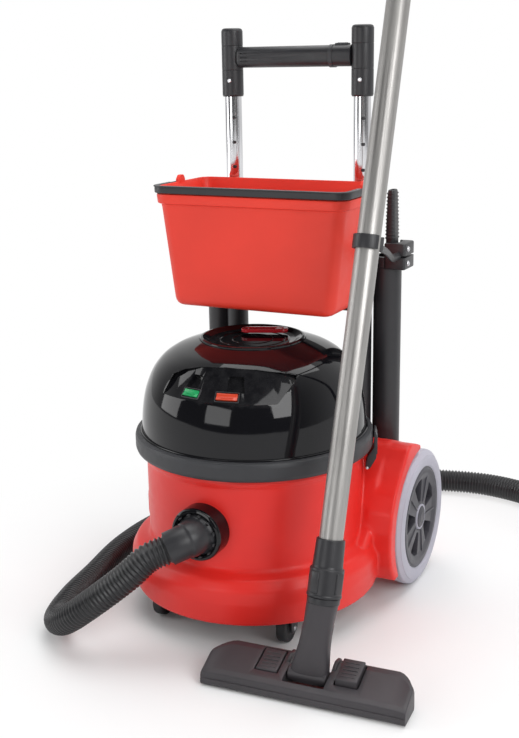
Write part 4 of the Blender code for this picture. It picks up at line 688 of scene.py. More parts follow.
for name, node, body, _, at, half, mat in ROCKERS:
    side = curve_through(mm([(-5, 3), (-3, 2.2), (0, 1.2), (3, 1.3), (5, 2)]), 5) + [(0.005, -0.003), (0.0015, -0.0048), (-0.0015, -0.0048),
        (-0.005, -0.003)]
    r = push(name, side[::-1], -half, half, mat, "YZ", edge=0.0006, seg=3, at=at)
    ready(r, body, node)
    groove = [slab(f"{name}_mark_{i}", (-half * 0.62, -0.0042 + i * 0.0013, 0.0017),
        (half * 0.62, -0.0036 + i * 0.0013, 0.0029 - i * 0.0004), mat, 0.0002, "Z", 0.0001, at, 2) for i in range(3)]
    for g in groove:
        ready(g, body)

# a dark frame round each rocker
for *_, name, at, half, mat in ROCKERS:
    o = rect_ring(-half - 0.0026, half + 0.0026, -0.008, 0.008, 0.002, 0.0, 3)
    i_ = rect_ring(-half - 0.001, half + 0.001, -0.0065, 0.0065, 0.001, 0.0, 3)
    rings = [[(x, y, 0.0004 + z) for x, y, _ in ring] for ring, z in ((o, -0.002), (o, 0.0002),
        (rect_ring(-half - 0.0022, half + 0.0022, -0.0076, 0.0076, 0.0018, 0, 3), 0.0007), (i_, 0.0007), (i_, -0.004))]
    v, f = skin(rings, close_ends=False)
    ready(mesh_object(name, v, f, SATIN, 35, at), "head")

RING = soften(mm([(168.6, 283), (172, 283.2, 1), (177.5, 281.5, 3), (179, 276, 4), (179, 261, 4), (177.2, 255.8, 3), (172, 254.5, 2),
    (148, 254.5, 1), (148, 258.3), (168.6, 258.3)]), closed=True)
ring = lathe("bumper_band", RING, RINGED, 160, closed=True)
notches = [lathe(f"notch_{s}", mm([(0, 320), (18.5, 320), (18.5, 200), (0, 200)]), RINGED, 32, here(s * 0.108, 0.161, 0)) for s in (-1, 1)]
carve(ring, *notches)
ready(ring, "head", "bumper_ring")
bead = lathe("bumper_bead", soften(mm([(166, 282.6), (170, 282.6, 0.6), (171.2, 284.2, 0.9), (170, 285.6, 0.8), (168.2, 285)]),
    closed=True), GLOSS, 160, closed=True)
ready(bead, "head", slot="matte_black")

# winder disc with its rings, and the folding crank
D = soften([(0, T - 0.0078), (0.056, T - 0.0078, 0.002), (0.064, T - 0.007, 0.004), (0.0715, T - 0.0028, 0.003), (0.074, T - 0.0022, 0.001),
    (0.0772, T - 0.0028, 0.001), (0.078, T - 0.004), (0.078, T - 0.0102), (0, T - 0.0102)])
disc = lathe("winder_plate", D, GLOSS, 128)
ready(disc, "winder", "winder_disc")
for k, r in enumerate((0.03, 0.048)):
    ready(lathe(f"winder_ripple_{k}", [(r - 0.0012, T - 0.008), (r - 0.0005, T - 0.007, 0.0004), (r + 0.0005, T - 0.007, 0.0004),
        (r + 0.0012, T - 0.008)], GLOSS, 96), "winder")
CRANK_AT = here(-0.026, 0.024, T - 0.0012, spun(22))
c_out = soften(mm([(-4.5, -11.5, 11.2), (66, -11.5, 11.2), (66, 11.5, 11.2), (-4.5, 11.5, 11.2)]), closed=True, n=10)
crank = push("crank_handle", c_out, -0.0027, 0.0022, CRANK, "XY", edge=0.0008, seg=3, at=CRANK_AT)
dish = push("crank_dish", soften(mm([(2, -7.5, 7.2), (60, -7.5, 7.2), (60, 7.5, 7.2), (2, 7.5, 7.2)]), closed=True, n=8), 0.0004, 0.01,
    CRANK, "XY", at=CRANK_AT)
carve(crank, dish)
ready(crank, "crank", "winder_crank")
ready(lathe("crank_knob", mm([(0, 1.9), (5, 1.9, 0.8), (5.6, 0.4, 0.4), (5.6, -0.5), (0, -0.5)]), CRANK, 32, CRANK_AT @ here(0.052, 0, 0)),
    "crank")

# latches: lever, hook, rib and pivot pin
for s, side in ((-1, "left"), (1, "right")):
    turn_l = Matrix.Rotation(radians(20) if s > 0 else radians(160), 4, "Z")
    line = soften(mm([(167.5, 224, 1), (173.5, 219, 3), (184.1, 238, 6), (184.8, 272, 4), (182.6, 280, 1.5), (180.2, 280, 0.8),
        (180.2, 254.5, 3), (171, 240, 4)]), closed=True)
    la = push(f"latch_lever_{side}", line[::-1], -0.015, 0.015, SATIN, "XZ", edge=0.0014, seg=3, at=turn_l)
    ready(la, f"latch_{side}_lever", f"latch_{side}")
    for k in (-1, 0, 1):
        ready(slab(f"latch_rib_{side}_{k + 1}", (0.1836, k * 0.0075 - 0.0015, 0.242), (0.1856, k * 0.0075 + 0.0015, 0.27), SATIN, 0.0006,
            "Z", 0.0008, turn_l, 3), f"latch_{side}_lever")
    ready(lathe(f"latch_pin_{side}", mm([(0, 16.5), (2.2, 16.5, 0.6), (2.2, -16.5, 0.6), (0, -16.5)]), ZINC, 24,
        turn_l @ here(0.1705, 0, 0.2225, turn_to((0, 1, 0)))), f"latch_{side}_lever")

# =============================================================================================== wheels
WHEEL_R, WHEEL_IN, WHEEL_W, AXLE_Y, HUB_R = 0.108, 0.186, 0.03, 0.1606, 0.081
HOLE_AT = 118                    # where the hubs' first hole is, in degrees
for s, side in ((-1, "left"), (1, "right")):
    at = here(0, AXLE_Y, WHEEL_R, turn_to((s, 0, 0)))
    x0, x1 = WHEEL_IN, WHEEL_IN + WHEEL_W
    line = soften([(HUB_R, x1 - 0.003), (HUB_R + 0.002, x1 - 0.0006, 0.001), (HUB_R + 0.012, x1, 0.01),
        (WHEEL_R - 0.008, x1 - 0.0008, 0.003), (WHEEL_R - 0.0075, x1 - 0.002, 0.0006), (WHEEL_R - 0.001, x1 - 0.006, 0.004),
        (WHEEL_R, x1 - 0.012, 0.006), (WHEEL_R, x0 + 0.017, 0.0004), (WHEEL_R - 0.0014, x0 + 0.016, 0.0004),
        (WHEEL_R - 0.0014, x0 + 0.014, 0.0004), (WHEEL_R, x0 + 0.013, 0.0004), (WHEEL_R - 0.001, x0 + 0.006, 0.004),
        (WHEEL_R - 0.008, x0 + 0.0008, 0.003), (HUB_R + 0.012, x0, 0.004), (HUB_R, x0 + 0.002)], n=5)
    tyre = lathe(f"tyre_{side}_rubber", line, TYRE, 144, at, closed=True)
    ready(tyre, f"wheel_{side}", f"tyre_{side}")
    hub = lathe(f"hub_{side}_plate", [(0.006, x1 - 0.006), (0.0205, x1 - 0.006, 0.0006), (0.0225, x1 - 0.0042, 0.001),
        (0.06, x1 - 0.005, 0.01), (0.0705, x1 - 0.0016, 0.003), (0.077, x1 - 0.0012, 0.002), (0.0785, x1 - 0.0026, 0.0008),
        (HUB_R, x1 - 0.0026), (HUB_R, x0 + 0.002), (0.074, x0 + 0.002, 0.001), (0.071, x0 + 0.0125, 0.002), (0.026, x0 + 0.0145, 0.002),
        (0.02, x0 + 0.001, 0.001), (0.006, x0 + 0.001)], HUB, 144, at, closed=True)
    tools = []
    for k in range(5):
        a0 = radians(HOLE_AT + 72 * k)
        wedge = [(r * cos(a0 + a), r * sin(a0 + a), 0.0026) for r, a in ((0.026, -0.17), (0.0622, -0.285), (0.0635, 0.0), (0.0622, 0.285),
            (0.026, 0.17))]
        tools.append(push("wedge", wedge, WHEEL_IN - 0.01, x1 + 0.01, HUB, "XY", at=at))
    carve(hub, *tools)
    round_edges(hub, 0.0008, 2, 30, 28)
    ready(hub, f"wheel_{side}", f"hub_{side}")
    # inner web behind the holes, spokes' ribs and the cap with its ring
    ready(lathe(f"hub_{side}_web", [(0.019, x0 + 0.016), (0.072, x0 + 0.016), (0.072, x0 + 0.015), (0.019, x0 + 0.015)], SATIN, 64, at,
        closed=True), f"wheel_{side}")
    for k in range(5):
        rib = spun(HOLE_AT + 36 + 72 * k)
        ready(slab(f"hub_{side}_spoke_{k}", (0.024, -0.0011, x1 - 0.0052), (0.069, 0.0011, x1 - 0.0028), HUB, 0.0008, "Z", 0.0006, at @ rib,
            3), f"wheel_{side}")
    cap = lathe(f"hub_{side}_cap", [(0, x1 - 0.0004), (0.0085, x1 - 0.0006, 0.004), (0.01, x1 - 0.0014, 0.0006),
        (0.0112, x1 - 0.0008, 0.0006), (0.0155, x1 - 0.0018, 0.002), (0.0175, x1 - 0.0036, 0.002), (0.0175, x1 - 0.006), (0, x1 - 0.006)],
        HUB, 72, at)
    ready(cap, f"wheel_{side}", f"hub_cap_{side}")
    ready(lathe(f"hub_{side}_ring", [(0.0176, x1 - 0.005), (0.0176, x1 - 0.003, 0.0004), (0.02, x1 - 0.0026, 0.0006), (0.0206, x1 - 0.005)],
        TYRE, 72, at), f"wheel_{side}")


# ============================================================================================== casters
for s, side in ((-1, "left"), (1, "right")):
    cx, cy = s * 0.103, -0.098
    wy, r, w = cy - 0.014, 0.0225, 0.018
    cheek = soften([(wy - 0.0095, 0.0225, 0.006), (wy - 0.006, 0.0155, 0.006), (wy + 0.006, 0.0155, 0.006), (cy + 0.0095, 0.043, 0.008),
        (cy + 0.0105, 0.059, 0.003), (wy - 0.009, 0.059, 0.004)], closed=True)
    for k in (-1, 1):
        x = cx + k * (w / 2 + 0.0027)
        ready(push(f"caster_cheek_{side}_{k + 1}", cheek, x - 0.0016, x + 0.0016, SATIN, "YZ", edge=0.0007, seg=2), f"caster_{side}",
            *([f"caster_fork_{side}"] if k > 0 else []))
        ready(lathe(f"caster_rivet_{side}_{k + 1}", mm([(0, 1.6), (3, 1.4, 1), (4, 0, 0.4), (0, 0)]), ZINC, 24,
            here(cx + k * (w / 2 + 0.0042), wy, r, turn_to((k, 0, 0)))), f"caster_{side}")
    ready(slab(f"caster_bridge_{side}", (cx - w / 2 - 0.0042, wy - 0.0088, 0.0492), (cx + w / 2 + 0.0042, cy + 0.0102, 0.0592), SATIN,
        0.004, "Z", 0.001, n=4), f"caster_{side}")
    ready(lathe(f"caster_race_{side}", mm([(0, 60.4), (13.5, 60.4, 0.6), (15, 59.2, 0.6), (13.5, 58), (0, 58)]), ZINC, 48, here(cx, cy, 0)),
        f"caster_{side}")
    wheel = lathe(f"caster_tread_{side}", [(0.0026, w / 2 - 0.001), (0.006, w / 2, 0.0005), (0.0085, w / 2 - 0.0005, 0.0005),
        (0.01, w / 2 - 0.0022, 0.0008), (0.0165, w / 2 - 0.0022, 0.0008), (0.018, w / 2 - 0.0008, 0.001), (0.022, w / 2 - 0.0022, 0.002),
        (r, w / 2 - 0.006, 0.003), (r, -w / 2 + 0.006, 0.003), (0.022, -w / 2 + 0.0022, 0.002), (0.018, -w / 2 + 0.0008, 0.001),
        (0.0165, -w / 2 + 0.0022, 0.0008), (0.01, -w / 2 + 0.0022, 0.0008), (0.006, -w / 2, 0.0005), (0.0026, -w / 2 + 0.001)], RUBBER, 72,
        here(cx, wy, r, turn_to((1, 0, 0))), closed=True)
    ready(wheel, f"caster_{side}_roll", f"caster_wheel_{side}")


# =============================================================================================== handle
TX, TY, TR_, SR, GR = 0.108, 0.161, 0.013, 0.017, 0.0165
for s, side in ((-1, "left"), (1, "right")):
    at = here(s * TX, TY, 0)
    ready(lathe(f"sleeve_{side}_tube", [(0.0135, 0.59), (0.0155, 0.59, 0.0006), (0.0182, 0.5888, 0.001), (0.0182, 0.573, 0.001),
        (0.0172, 0.5715, 0.0006), (SR, 0.568, 0.001), (SR, 0.135), (0.0135, 0.135)], SATIN, 64, at, closed=True), "chassis",
        f"sleeve_{side}")
    ready(lathe(f"inner_{side}_tube", [(TR_ - 0.0015, 0.805), (TR_, 0.805), (TR_, 0.311, 0.0006), (TR_ - 0.0015, 0.31)], CHROME, 64, at,
        closed=True), "handle", f"inner_tube_{side}")
    sock = lathe(f"grip_{side}_socket", [(0, 0.861), (0.0118, 0.8616, 0.001), (0.015, 0.8604, 0.002), (GR, 0.857, 0.003),
        (GR, 0.836, 0.0004), (GR - 0.0005, 0.8354, 0.0002), (GR, 0.8348, 0.0004), (GR, 0.8, 0.0004), (GR - 0.0005, 0.7994, 0.0002),
        (GR, 0.7988, 0.0004), (GR, 0.762, 0.001), (GR - 0.001, 0.7595, 0.0006), (0.0133, 0.7595), (0.0133, 0.8056), (0, 0.8056)], SATIN, 72,
        at)
    ready(sock, "handle", f"grip_socket_{side}")
    # screw that holds the socket, and the lock holes down the tube
    ready(lathe(f"grip_{side}_screw", mm([(0, 17), (2.6, 16.9, 1), (3.4, 16, 0.4), (3.4, 14), (0, 14)]), ZINC, 24,
        at @ here(0, 0, 0.7835, turn_to((0.12, -1, 0)))), "handle")
    for k, z in enumerate((0.728, 0.69, 0.652)):
        ready(lathe(f"lock_hole_{side}_{k}", mm([(0, 13.05), (2.4, 13), (3.1, 12.85, 0.2), (3.1, 12), (0, 12)]), SATIN, 24,
            at @ here(0, 0, z, turn_to((0.55, -1, 0)))), "handle")
BAR_Z, BAR_H, BAR_D = 0.818, 0.031, 0.03
bar = slab("cross_grip", (-TX + GR - 0.0016, TY - BAR_D / 2, BAR_Z - BAR_H / 2), (TX - GR + 0.0016, TY + BAR_D / 2, BAR_Z + BAR_H / 2),
    SATIN, 0.0115, "X", 0.0004, n=10)
cups = [lathe("cup", [(0, 0.95), (GR + 0.0002, 0.95), (GR + 0.0002, 0.7), (0, 0.7)], SATIN, 64, here(s * TX, TY, 0)) for s in (-1, 1)]
slots = [slab("slot", (-TX + GR + 0.005, TY - 0.03, BAR_Z - 0.007 + k * 0.0058),
    (-TX + GR + 0.017, TY - BAR_D / 2 + 0.002, BAR_Z - 0.005 + k * 0.0058), SATIN, 0.0008, "Y", 0.0004, n=3) for k in range(3)]
well = slab("well", (0.0655, TY - 0.0075, BAR_Z + BAR_H / 2 - 0.009), (0.087, TY + 0.0075, BAR_Z + 0.05), SATIN, 0.0016, "Z", 0.0004, n=4)
carve(bar, *cups, *slots, well)
ready(bar, "handle", "crossbar")
# the sliding sleeve at the right end of the bar, with grip ribs, and the button
o = rect_ring(TY - BAR_D / 2 - 0.0012, TY + BAR_D / 2 + 0.0012, BAR_Z - BAR_H / 2 - 0.0012, BAR_Z + BAR_H / 2 + 0.001, 0.012, 0, 10)
i_ = rect_ring(TY - BAR_D / 2 + 0.0004, TY + BAR_D / 2 - 0.0004, BAR_Z - BAR_H / 2 + 0.0004, BAR_Z + BAR_H / 2 - 0.0004, 0.0112, 0, 10)
collar = [[(x, a, b) for a, b, _ in ring] for x, ring in ((0.058, i_), (0.0584, o), (0.064, o), (0.0644, i_))]
ready(mesh_object("grip_collar", *skin(collar, close_ends=False), RINGED, 40), "handle")
ready(slab("release_key", (0.066, TY - 0.007, BAR_Z + BAR_H / 2 - 0.006), (0.0865, TY + 0.007, BAR_Z + BAR_H / 2 + 0.0028), RINGED, 0.0022,
    "Z", 0.0012, n=6), "handle_button", "release_button")
for k in range(4):
    x = 0.07 + k * 0.004
    ready(slab(f"release_key_rib_{k}", (x, TY - 0.005, BAR_Z + BAR_H / 2 + 0.0022), (x + 0.0014, TY + 0.005, BAR_Z + BAR_H / 2 + 0.0034),
        RINGED, 0.0005, "Z", 0.0005, n=3), "handle_button")


# ================================================================================ storage tubes, clamp
DX, DY, DR = 0.146, 0.1755, 0.0215
for s, side in ((-1, "left"), (1, "right")):
    ready(lathe(f"storage_{side}_tube", [(0.0185, 0.522), (0.02, 0.5222, 0.0006), (DR + 0.0012, 0.5212, 0.001), (DR + 0.0012, 0.506, 0.001),
        (DR, 0.5045, 0.0006), (DR, 0.145), (0.0185, 0.145), (0.0185, 0.344), (0.01, 0.344), (0.01, 0.348), (0.0185, 0.348)], SATIN, 72,
        here(s * DX, DY, 0), closed=True), "chassis", f"dock_tube_{side}")
clamp = slab("clamp_block", (DX + 0.002, DY - 0.025, 0.504), (0.182, DY + 0.019, 0.544), SATIN, 0.004, "Z", 0.002, n=5)
b1 = lathe("b1", [(0, 0.6), (DR + 0.0013, 0.6), (DR + 0.0013, 0.45), (0, 0.45)], SATIN, 64, here(DX, DY, 0))
b2 = lathe("b2", [(0, 0.6), (SR + 0.0018, 0.6), (SR + 0.0018, 0.45), (0, 0.45)], SATIN, 64, here(TX, TY, 0))
gap_ = slab("gap", (0.17, DY - 0.03, 0.5225), (0.19, DY + 0.03, 0.5255), SATIN, 0.0005, "Z", 0.0002)
carve(clamp, b1, b2, gap_)
ready(clamp, "chassis", "clip_block")
for k, z in enumerate((0.513, 0.535)):
    ready(lathe(f"clamp_screw_{k}", mm([(0, 3), (3, 2.8, 1), (4.2, 1, 0.6), (4.2, -1), (0, -1)]), ZINC, 24,
        here(0.182, DY - 0.012, z, turn_to((1, 0, 0)))), "chassis")
clip_at = WAND_BASE + WAND_DIR * 0.4205
WT = Matrix.Translation(clip_at) @ turn_to(WAND_DIR)
CLIP_OPEN = 28                   # half of the clip's open angle, in degrees
ring_c = [radians(CLIP_OPEN + (360 - 2 * CLIP_OPEN) * k / 48) for k in range(49)]
prof = soften([(WAND_R + 0.0004, -0.0092, 0.0008), (WAND_R + 0.0046, -0.0092, 0.001), (WAND_R + 0.0046, 0.0092, 0.001),
    (WAND_R + 0.0004, 0.0092, 0.0008)], closed=True)
rings = [[(r * cos(a), r * sin(a), z) for r, z in prof] for a in ring_c]
ready(mesh_object("wand_ring", *skin(rings), SATIN, 40, WT), "chassis", "wand_clip")
arm_pts = [Vector((0.171, DY - 0.024, 0.526)), Vector((0.171, DY - 0.0453, 0.526)), Vector((0.19, DY - 0.1303, 0.55)),
    Vector((clip_at.x - 0.003, clip_at.y + 0.0185, clip_at.z - 0.0035))]
arm_line, _ = resample(smooth_route(arm_pts, 8), 0.004)
ready(sweep("clip_arm", arm_line, lambda i, n: 0.0064 - 0.0012 * sin(pi * i / (n - 1)), SATIN,
    section=[(cos(2 * pi * k / 20) * 0.75, sin(2 * pi * k / 20)) for k in range(20)]), "chassis")
ready(lathe("clip_pin", mm([(0, 4), (1.6, 3.8, 0.6), (2, 2, 0.4), (2, -4), (0, -4)]), ZINC, 20,
    WT @ here(0.0, 0.0205, 0.0, turn_to((0.35, 1, 0.15)))), "chassis")

# crevice nozzle parked in the right tube: flat blade with stepped edges
CX, CY = DX + 0.006, DY + 0.0015
rings = []
for z, a, b in ((0.349, 0.0112, 0.0112), (0.448, 0.0112, 0.0112), (0.456, 0.0108, 0.0112), (0.52, 0.0082, 0.012), (0.57, 0.0072, 0.0125),
        (0.618, 0.0056, 0.0112), (0.621, 0.005, 0.0106), (0.622, 0.004, 0.0096)):
    e = 1.0 if z < 0.46 else 0.55
    rings.append([(CX + x, CY + y, z) for x, y in oval(a, b, e, 40)])
blade = mesh_object("crevice_nozzle", *skin(rings), SATIN, 35)
mouth = slab("mouth", (CX - 0.0026, CY - 0.0078, 0.59), (CX + 0.0026, CY + 0.0078, 0.63), SATIN, 0.0024, "Z", 0.0004)
carve(blade, mouth)
ready(blade, "crevice", "crevice_tool")
for k in range(13):
    z = 0.548 + k * 0.0056
    w = 0.0072 - 0.0016 * k / 12
    ready(slab(f"crevice_step_{k}", (CX - w - 0.0008, CY - 0.0128 + 0.0011 * k / 12, z), (CX + w + 0.0008, CY + 0.0128 - 0.0011 * k / 12,
        z + 0.0026), SATIN, 0.004, "Z", 0.0008, n=4), "crevice")

# ================================================================================================ caddy
HALF, Y0, Y1, LOW, RIM = 0.151, -0.014, 0.1365, 0.458, 0.637
TAPER, TAPER_F, TAPER_B = 0.021, 0.004, 0.0136
LIP_TOP, LIP_H, LIP_OUT = 0.6256, 0.014, 0.0055


def bin_ring(z, out=0.0, r=0.018):
    k = max(0.0, (RIM - z) / (RIM - LOW))
    return rect_ring(-HALF + TAPER * k - out, HALF - TAPER * k + out, Y0 + TAPER_F * k - out, Y1 - TAPER_B * k + out, max(r + out, 0.002),
        z, 10, 6)


outer = [(LOW, -0.0125), (LOW + 0.0003, -0.0095), (LOW + 0.0016, -0.0058), (LOW + 0.0042, -0.0026), (LOW + 0.008, -0.0007),
    (LOW + 0.013, 0.0)]
outer += [(LOW + 0.013 + (LIP_TOP - LIP_H - 0.006 - LOW - 0.013) * k / 6, 0.0) for k in range(1, 7)]
outer += [(LIP_TOP - LIP_H - 0.0015, 0.0004), (LIP_TOP - LIP_H - 0.0004, 0.0022), (LIP_TOP - LIP_H, 0.0044),
    (LIP_TOP - LIP_H + 0.0006, 0.0053), (LIP_TOP - LIP_H + 0.002, LIP_OUT), (LIP_TOP - 0.002, LIP_OUT),
    (LIP_TOP - 0.0005, LIP_OUT - 0.0008), (LIP_TOP, LIP_OUT - 0.003), (LIP_TOP, 0.001), (LIP_TOP + 0.0015, 0.0002), (RIM - 0.001, 0.0),
    (RIM - 0.0002, -0.0008), (RIM, -0.0016), (RIM - 0.0004, -0.0026), (RIM - 0.0015, -0.003)]
outer += [(LIP_TOP - 0.02, -0.003), (LOW + 0.1, -0.003), (LOW + 0.014, -0.003), (LOW + 0.007, -0.0048), (LOW + 0.004, -0.0085),
    (LOW + 0.003, -0.014)]
rings = [bin_ring(z, o) for z, o in outer]
ready(mesh_object("caddy_tub", *skin(rings), CADDY_RED, 38), "caddy", "caddy_bin")
# two guides for dividers inside the bin
for s in (-1, 1):
    ready(slab(f"caddy_guide_{s + 1}", (s * 0.052 - 0.0016, Y1 - 0.01, LOW + 0.03), (s * 0.052 + 0.0016, Y1 - 0.003, RIM - 0.03), CADDY_RED,
        0.0012, "Z", 0.0012, n=3), "caddy")

PIV_Y, PIV_Z = (Y0 + Y1) / 2, RIM - 0.0105 / 2
line = [(-HALF - LIP_OUT + 0.0022, PIV_Y + 0.0015)]
cxo, cyo, rr = HALF + LIP_OUT - 0.02, Y0 - LIP_OUT + 0.02, 0.02 - 0.0022
line += [(-cxo + rr * cos(radians(180 + 90 * k / 14)), cyo + rr * sin(radians(180 + 90 * k / 14))) for k in range(15)]
line += [(cxo + rr * cos(radians(270 + 90 * k / 14)), cyo + rr * sin(radians(270 + 90 * k / 14))) for k in range(15)]
line += [(HALF + LIP_OUT - 0.0022, PIV_Y + 0.0015)]
bail_line, _ = resample([Vector((x, y, PIV_Z + 0.0003)) for x, y in line], 0.004)
section = [(x, y) for x, y, _ in rect_ring(-0.0022, 0.0024, -0.0053, 0.0053, 0.0016, 0, 5)]
bail = sweep("caddy_carry_bar", bail_line, 1.0, SATIN, section=section, up=(0, 0, 1), sharp=40)
ready(bail, "bail", "caddy_bail")
flat_sec = [(x, y) for x, y, _ in rect_ring(-0.005, 0.0038, -0.001, 0.001, 0.0009, 0, 3)]
top_line = [p + Vector((0, 0, 0.0047)) for p in bail_line[6:-6]]
ready(sweep("caddy_bar_flange", top_line, 1.0, SATIN, section=flat_sec, up=(0, 0, 1), sharp=40), "bail")
for s in (-1, 1):
    x = s * (HALF + 0.002)
    lug = soften([(PIV_Y - 0.011, LIP_TOP - 0.006, 0.001), (PIV_Y - 0.0095, RIM + 0.0035, 0.004), (PIV_Y - 0.004, RIM + 0.0095, 0.004),
        (PIV_Y + 0.006, RIM + 0.0095, 0.004), (PIV_Y + 0.01, RIM + 0.0035, 0.004), (PIV_Y + 0.011, LIP_TOP - 0.006, 0.001)], closed=True)
    ready(push(f"caddy_lug_{s + 1}", lug, x - 0.0028 - s * 0.0026, x + 0.0028 - s * 0.0026, CADDY_RED, "YZ", edge=0.001, seg=3), "caddy")
    ready(lathe(f"caddy_pivot_{s + 1}", mm([(0, 3.6), (3, 3.4, 0.8), (4, 2, 0.6), (4, 0), (0, 0)]), SATIN, 28,
        here(s * (HALF + 0.004), PIV_Y, PIV_Z, turn_to((s, 0, 0)))), "caddy")


# ================================================================================================ wand
WM = Matrix.Translation(WAND_BASE) @ turn_to(WAND_DIR)
ready(lathe("wand_main", [(WAND_R - 0.0012, WAND_LEN), (WAND_R - 0.0003, WAND_LEN, 0.0004), (WAND_R, WAND_LEN - 0.001), (WAND_R, -0.012),
    (WAND_R - 0.0012, -0.012)], ALU, 96, WM, closed=True), "wand", "wand_tube")
# the swaged joint near the top, and the curved end
ready(lathe("wand_swage", [(WAND_R, WAND_LEN - 0.056), (WAND_R + 0.0006, WAND_LEN - 0.0545, 0.0008),
    (WAND_R + 0.0006, WAND_LEN - 0.001, 0.0008), (WAND_R - 0.0004, WAND_LEN + 0.0006, 0.0004), (BEND_R, WAND_LEN + 0.0006)], ALU, 96, WM),
    "wand")
bend_line = [WAND_BASE + WAND_DIR * (WAND_LEN - 0.045), WAND_BASE + WAND_DIR * (WAND_LEN - 0.01)] + bend_pts[1:] + [bend_end]
bend_line, _ = resample(bend_line, 0.003)
ready(sweep("wand_curve", bend_line, BEND_R, ALU, seg=48), "wand", "wand_bend")

# socket and collar at the wand's foot
socket = lathe("tool_socket", [(WAND_R + 0.0003, 0.03), (WAND_R + 0.0018, 0.0302, 0.0004), (WAND_R + 0.003, 0.029, 0.0008),
    (WAND_R + 0.0042, -0.005, 0.004), (WAND_R + 0.0048, -0.0078, 0.0006), (WAND_R + 0.0066, -0.0086, 0.0008),
    (WAND_R + 0.0068, -0.011, 0.0005), (WAND_R + 0.0068, -0.042, 0.0006), (WAND_R + 0.0074, -0.0432, 0.0004),
    (WAND_R + 0.0074, -0.0458, 0.0006), (WAND_R + 0.005, -0.0462, 0.0006), (0.0125, -0.0462), (0.0125, -0.0125),
    (WAND_R + 0.0003, -0.0125)], SATIN, 96, WM, closed=True)
ready(socket, "wand", "neck_socket")
# four raised keys round the collar
for k, az in enumerate((-18, 72, 162, 252)):
    key = WM @ spun(az)
    ready(slab(f"socket_key_{k}", (WAND_R + 0.004, -0.0062, -0.04), (WAND_R + 0.0082, 0.0062, -0.012), SATIN, 0.0016, "Z", 0.0014, key, 4),
        "wand")


# ================================================================================================ neck
TM = Matrix.Translation((0.189, -0.225, 0)) @ spun(3.43)
HINGE = TM @ Vector((0, -0.002, 0.0245))
flat = TM.to_3x3() @ Vector((1, 0, 0))
neck_top = WAND_BASE - WAND_DIR * 0.0464
down = (HINGE - neck_top).normalized()
rings = []
for share, wx, wy, e, along in ((0.0, 0.0206, 0.0206, 1.0, 0), (0.03, 0.0214, 0.0214, 1.0, 0), (0.1, 0.0212, 0.021, 1.0, 0.2),
        (0.22, 0.0206, 0.0198, 0.95, 0.5), (0.33, 0.02, 0.0184, 0.9, 0.8), (0.36, 0.0206, 0.0186, 0.85, 1), (0.48, 0.0204, 0.0164, 0.75, 1),
        (0.6, 0.0212, 0.0146, 0.66, 1), (0.72, 0.0228, 0.013, 0.6, 1), (0.84, 0.025, 0.0116, 0.56, 1), (0.94, 0.0268, 0.0106, 0.55, 1),
        (1.02, 0.0272, 0.0102, 0.55, 1), (1.07, 0.0262, 0.0094, 0.55, 1)):
    axis = WAND_DIR.lerp(-down, along).normalized()
    fwd = axis.cross(flat).normalized()
    c = neck_top.lerp(HINGE, share)
    rings.append([tuple(c + flat * x + fwd * y) for x, y in oval(wx, wy, e, 64)])
neck = mesh_object("tool_neck", *skin(rings), TOOLED, 26)
ready(neck, "neck", "neck_lower")
ready(lathe("neck_barrel", mm([(0, 27.2), (9.5, 27.2, 1), (11.3, 26.2, 1), (11.3, -26.2, 1), (9.5, -27.2, 1), (0, -27.2)]), TOOLED, 48,
    Matrix.Translation(HINGE) @ turn_to(flat)), "neck")
ready(lathe("neck_swivel_ring", mm([(15, 1.6), (21.2, 1.6, 0.4), (21.9, 0.6, 0.4), (21.9, -6, 0.6), (21, -7.2, 0.4), (15, -7.2)]), SATIN,
    96, Matrix.Translation(neck_top - WAND_DIR * 0.0018) @ turn_to(WAND_DIR), closed=True), "neck")


# ========================================================================================== floor tool
TOOL_DEEP, FRONT_HIGH, REAR_HIGH = 0.078, 0.021, 0.038
TOOL_LINE = soften([(-0.0365, 0.0022, 0.0008), (0.037, 0.0022, 0.0008), (0.039, 0.007, 0.002), (0.038, 0.0285, 0.004),
    (0.03, REAR_HIGH, 0.005), (0.018, REAR_HIGH - 0.0006, 0.006), (-0.028, FRONT_HIGH + 0.0032, 0.006), (-0.0363, FRONT_HIGH, 0.003),
    (-0.0385, 0.0135, 0.0008), (-0.0377, 0.0125, 0.0006), (-0.0397, 0.0115, 0.0008), (-0.0397, 0.0055, 0.001)], closed=True, n=4)


def tool_ring(x, inset, drop):
    """The tool's outline at x: a bumper at the foot, a sloping top, a low back; inset narrows it and drop lowers it."""
    low = -TOOL_DEEP / 2
    return [(x, low + (y - low) * (1 - inset / TOOL_DEEP), z - drop * max(0.0, (z - 0.01) / (REAR_HIGH - 0.01))) for y, z in TOOL_LINE]


stations = [(0.1425, 0.034, 0.006), (0.142, 0.0322, 0.0045), (0.1405, 0.03, 0.0032), (0.1375, 0.025, 0.0022), (0.133, 0.016, 0.0014),
    (0.128, 0.009, 0.0008), (0.122, 0.003, 0.0003), (0.116, 0.0, 0.0), (0.098, 0, 0), (0.08, 0, 0), (0.05, 0, 0), (0.025, 0, 0)]
stations = [(-x, i, d) for x, i, d in stations] + [(0.0, 0, 0)] + stations[::-1]
tool = mesh_object("tool_shell", *skin([tool_ring(*s) for s in stations]), TOOLED, 30)
notch = slab("notch", (-0.0292, -0.027, 0.0105), (0.0292, 0.08, 0.08), TOOLED, 0.002, "Z", 0.0004)
wells = [slab("well", (s * 0.056 - 0.0172, -0.017, 0.015), (s * 0.056 + 0.0172, 0.0262, 0.09), TOOLED, 0.0024, "Z", 0.0004)
    for s in (-1, 1)]
belly = slab("belly", (-0.1225, -0.01, -0.01), (0.1225, 0.006, 0.007), TOOLED, 0.001, "Z", 0.0004)
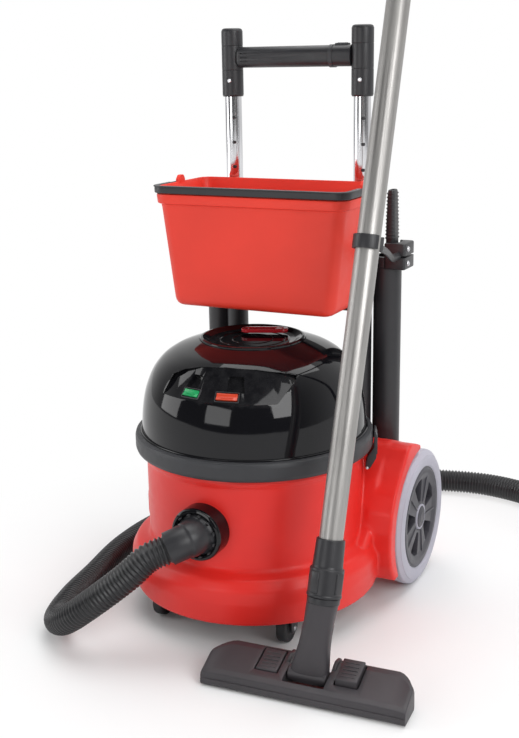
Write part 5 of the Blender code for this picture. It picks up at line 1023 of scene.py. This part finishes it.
groove = slab("groove", (-0.1305, -0.029, -0.01), (0.1305, -0.021, 0.0096), TOOLED, 0.001, "Z", 0.0004)
carve(tool, notch, *wells, belly, groove)
round_edges(tool, 0.0007, 2, 35, 28)
tool.matrix_world = TM
ready(tool, "floor_tool", "tool_body")
SLOPE_T = atan2(REAR_HIGH - 0.0005 - FRONT_HIGH - 0.0035, TOOL_DEEP - 0.03)


def top_z(y):
    return FRONT_HIGH + 0.0035 + (y + TOOL_DEEP / 2 - 0.01) * tan(SLOPE_T)


for s, side in ((-1, "left"), (1, "right")):
    rise = 0.0006 if s < 0 else 0.0075
    ya, yb = -0.015, 0.024
    side_pts = soften([(ya, 0.0205), (yb, 0.0205), (yb, top_z(yb) + rise, 0.0022), ((ya + yb) / 2, top_z((ya + yb) / 2) + rise - 0.0008,
        0.03), (ya, top_z(ya) + rise, 0.0022)], closed=True)
    ready(push(f"pedal_{side}", side_pts, s * 0.056 - 0.015, s * 0.056 + 0.015, TOOLED, "YZ", edge=0.0012, seg=3, at=TM), "pedal",
        f"foot_pad_{side}")
    for k in range(5):
        y = -0.009 + k * 0.0062
        ready(slab(f"pedal_{side}_grip_{k}", (s * 0.056 - 0.0105, y, top_z(y) + rise - 0.0012),
            (s * 0.056 + 0.0105, y + 0.0016, top_z(y) + rise + 0.0007), TOOLED, 0.0006, "Z", 0.0006, TM, 3), "pedal")
# a cheek on each side of the neck's hinge
for s in (-1, 1):
    pts = soften(mm([(4, 18), (33, 18), (33, 39.5, 4), (18, 42, 6), (6, 36, 6)]), closed=True)
    ready(push(f"tool_cheek_{s + 1}", pts, s * 0.0322 - 0.0026, s * 0.0322 + 0.0026, TOOLED, "YZ", edge=0.001, seg=3, at=TM), "floor_tool")
# small rollers at the back
for s in (-1, 1):
    ready(lathe(f"tool_roller_{s + 1}", mm([(0, 4), (4.5, 4, 0.8), (5.4, 3, 0.8), (5.4, -3, 0.8), (4.5, -4, 0.8), (0, -4)]), RUBBER, 36,
        TM @ here(s * 0.09, 0.032, 0.0056, turn_to((1, 0, 0)))), "floor_tool")
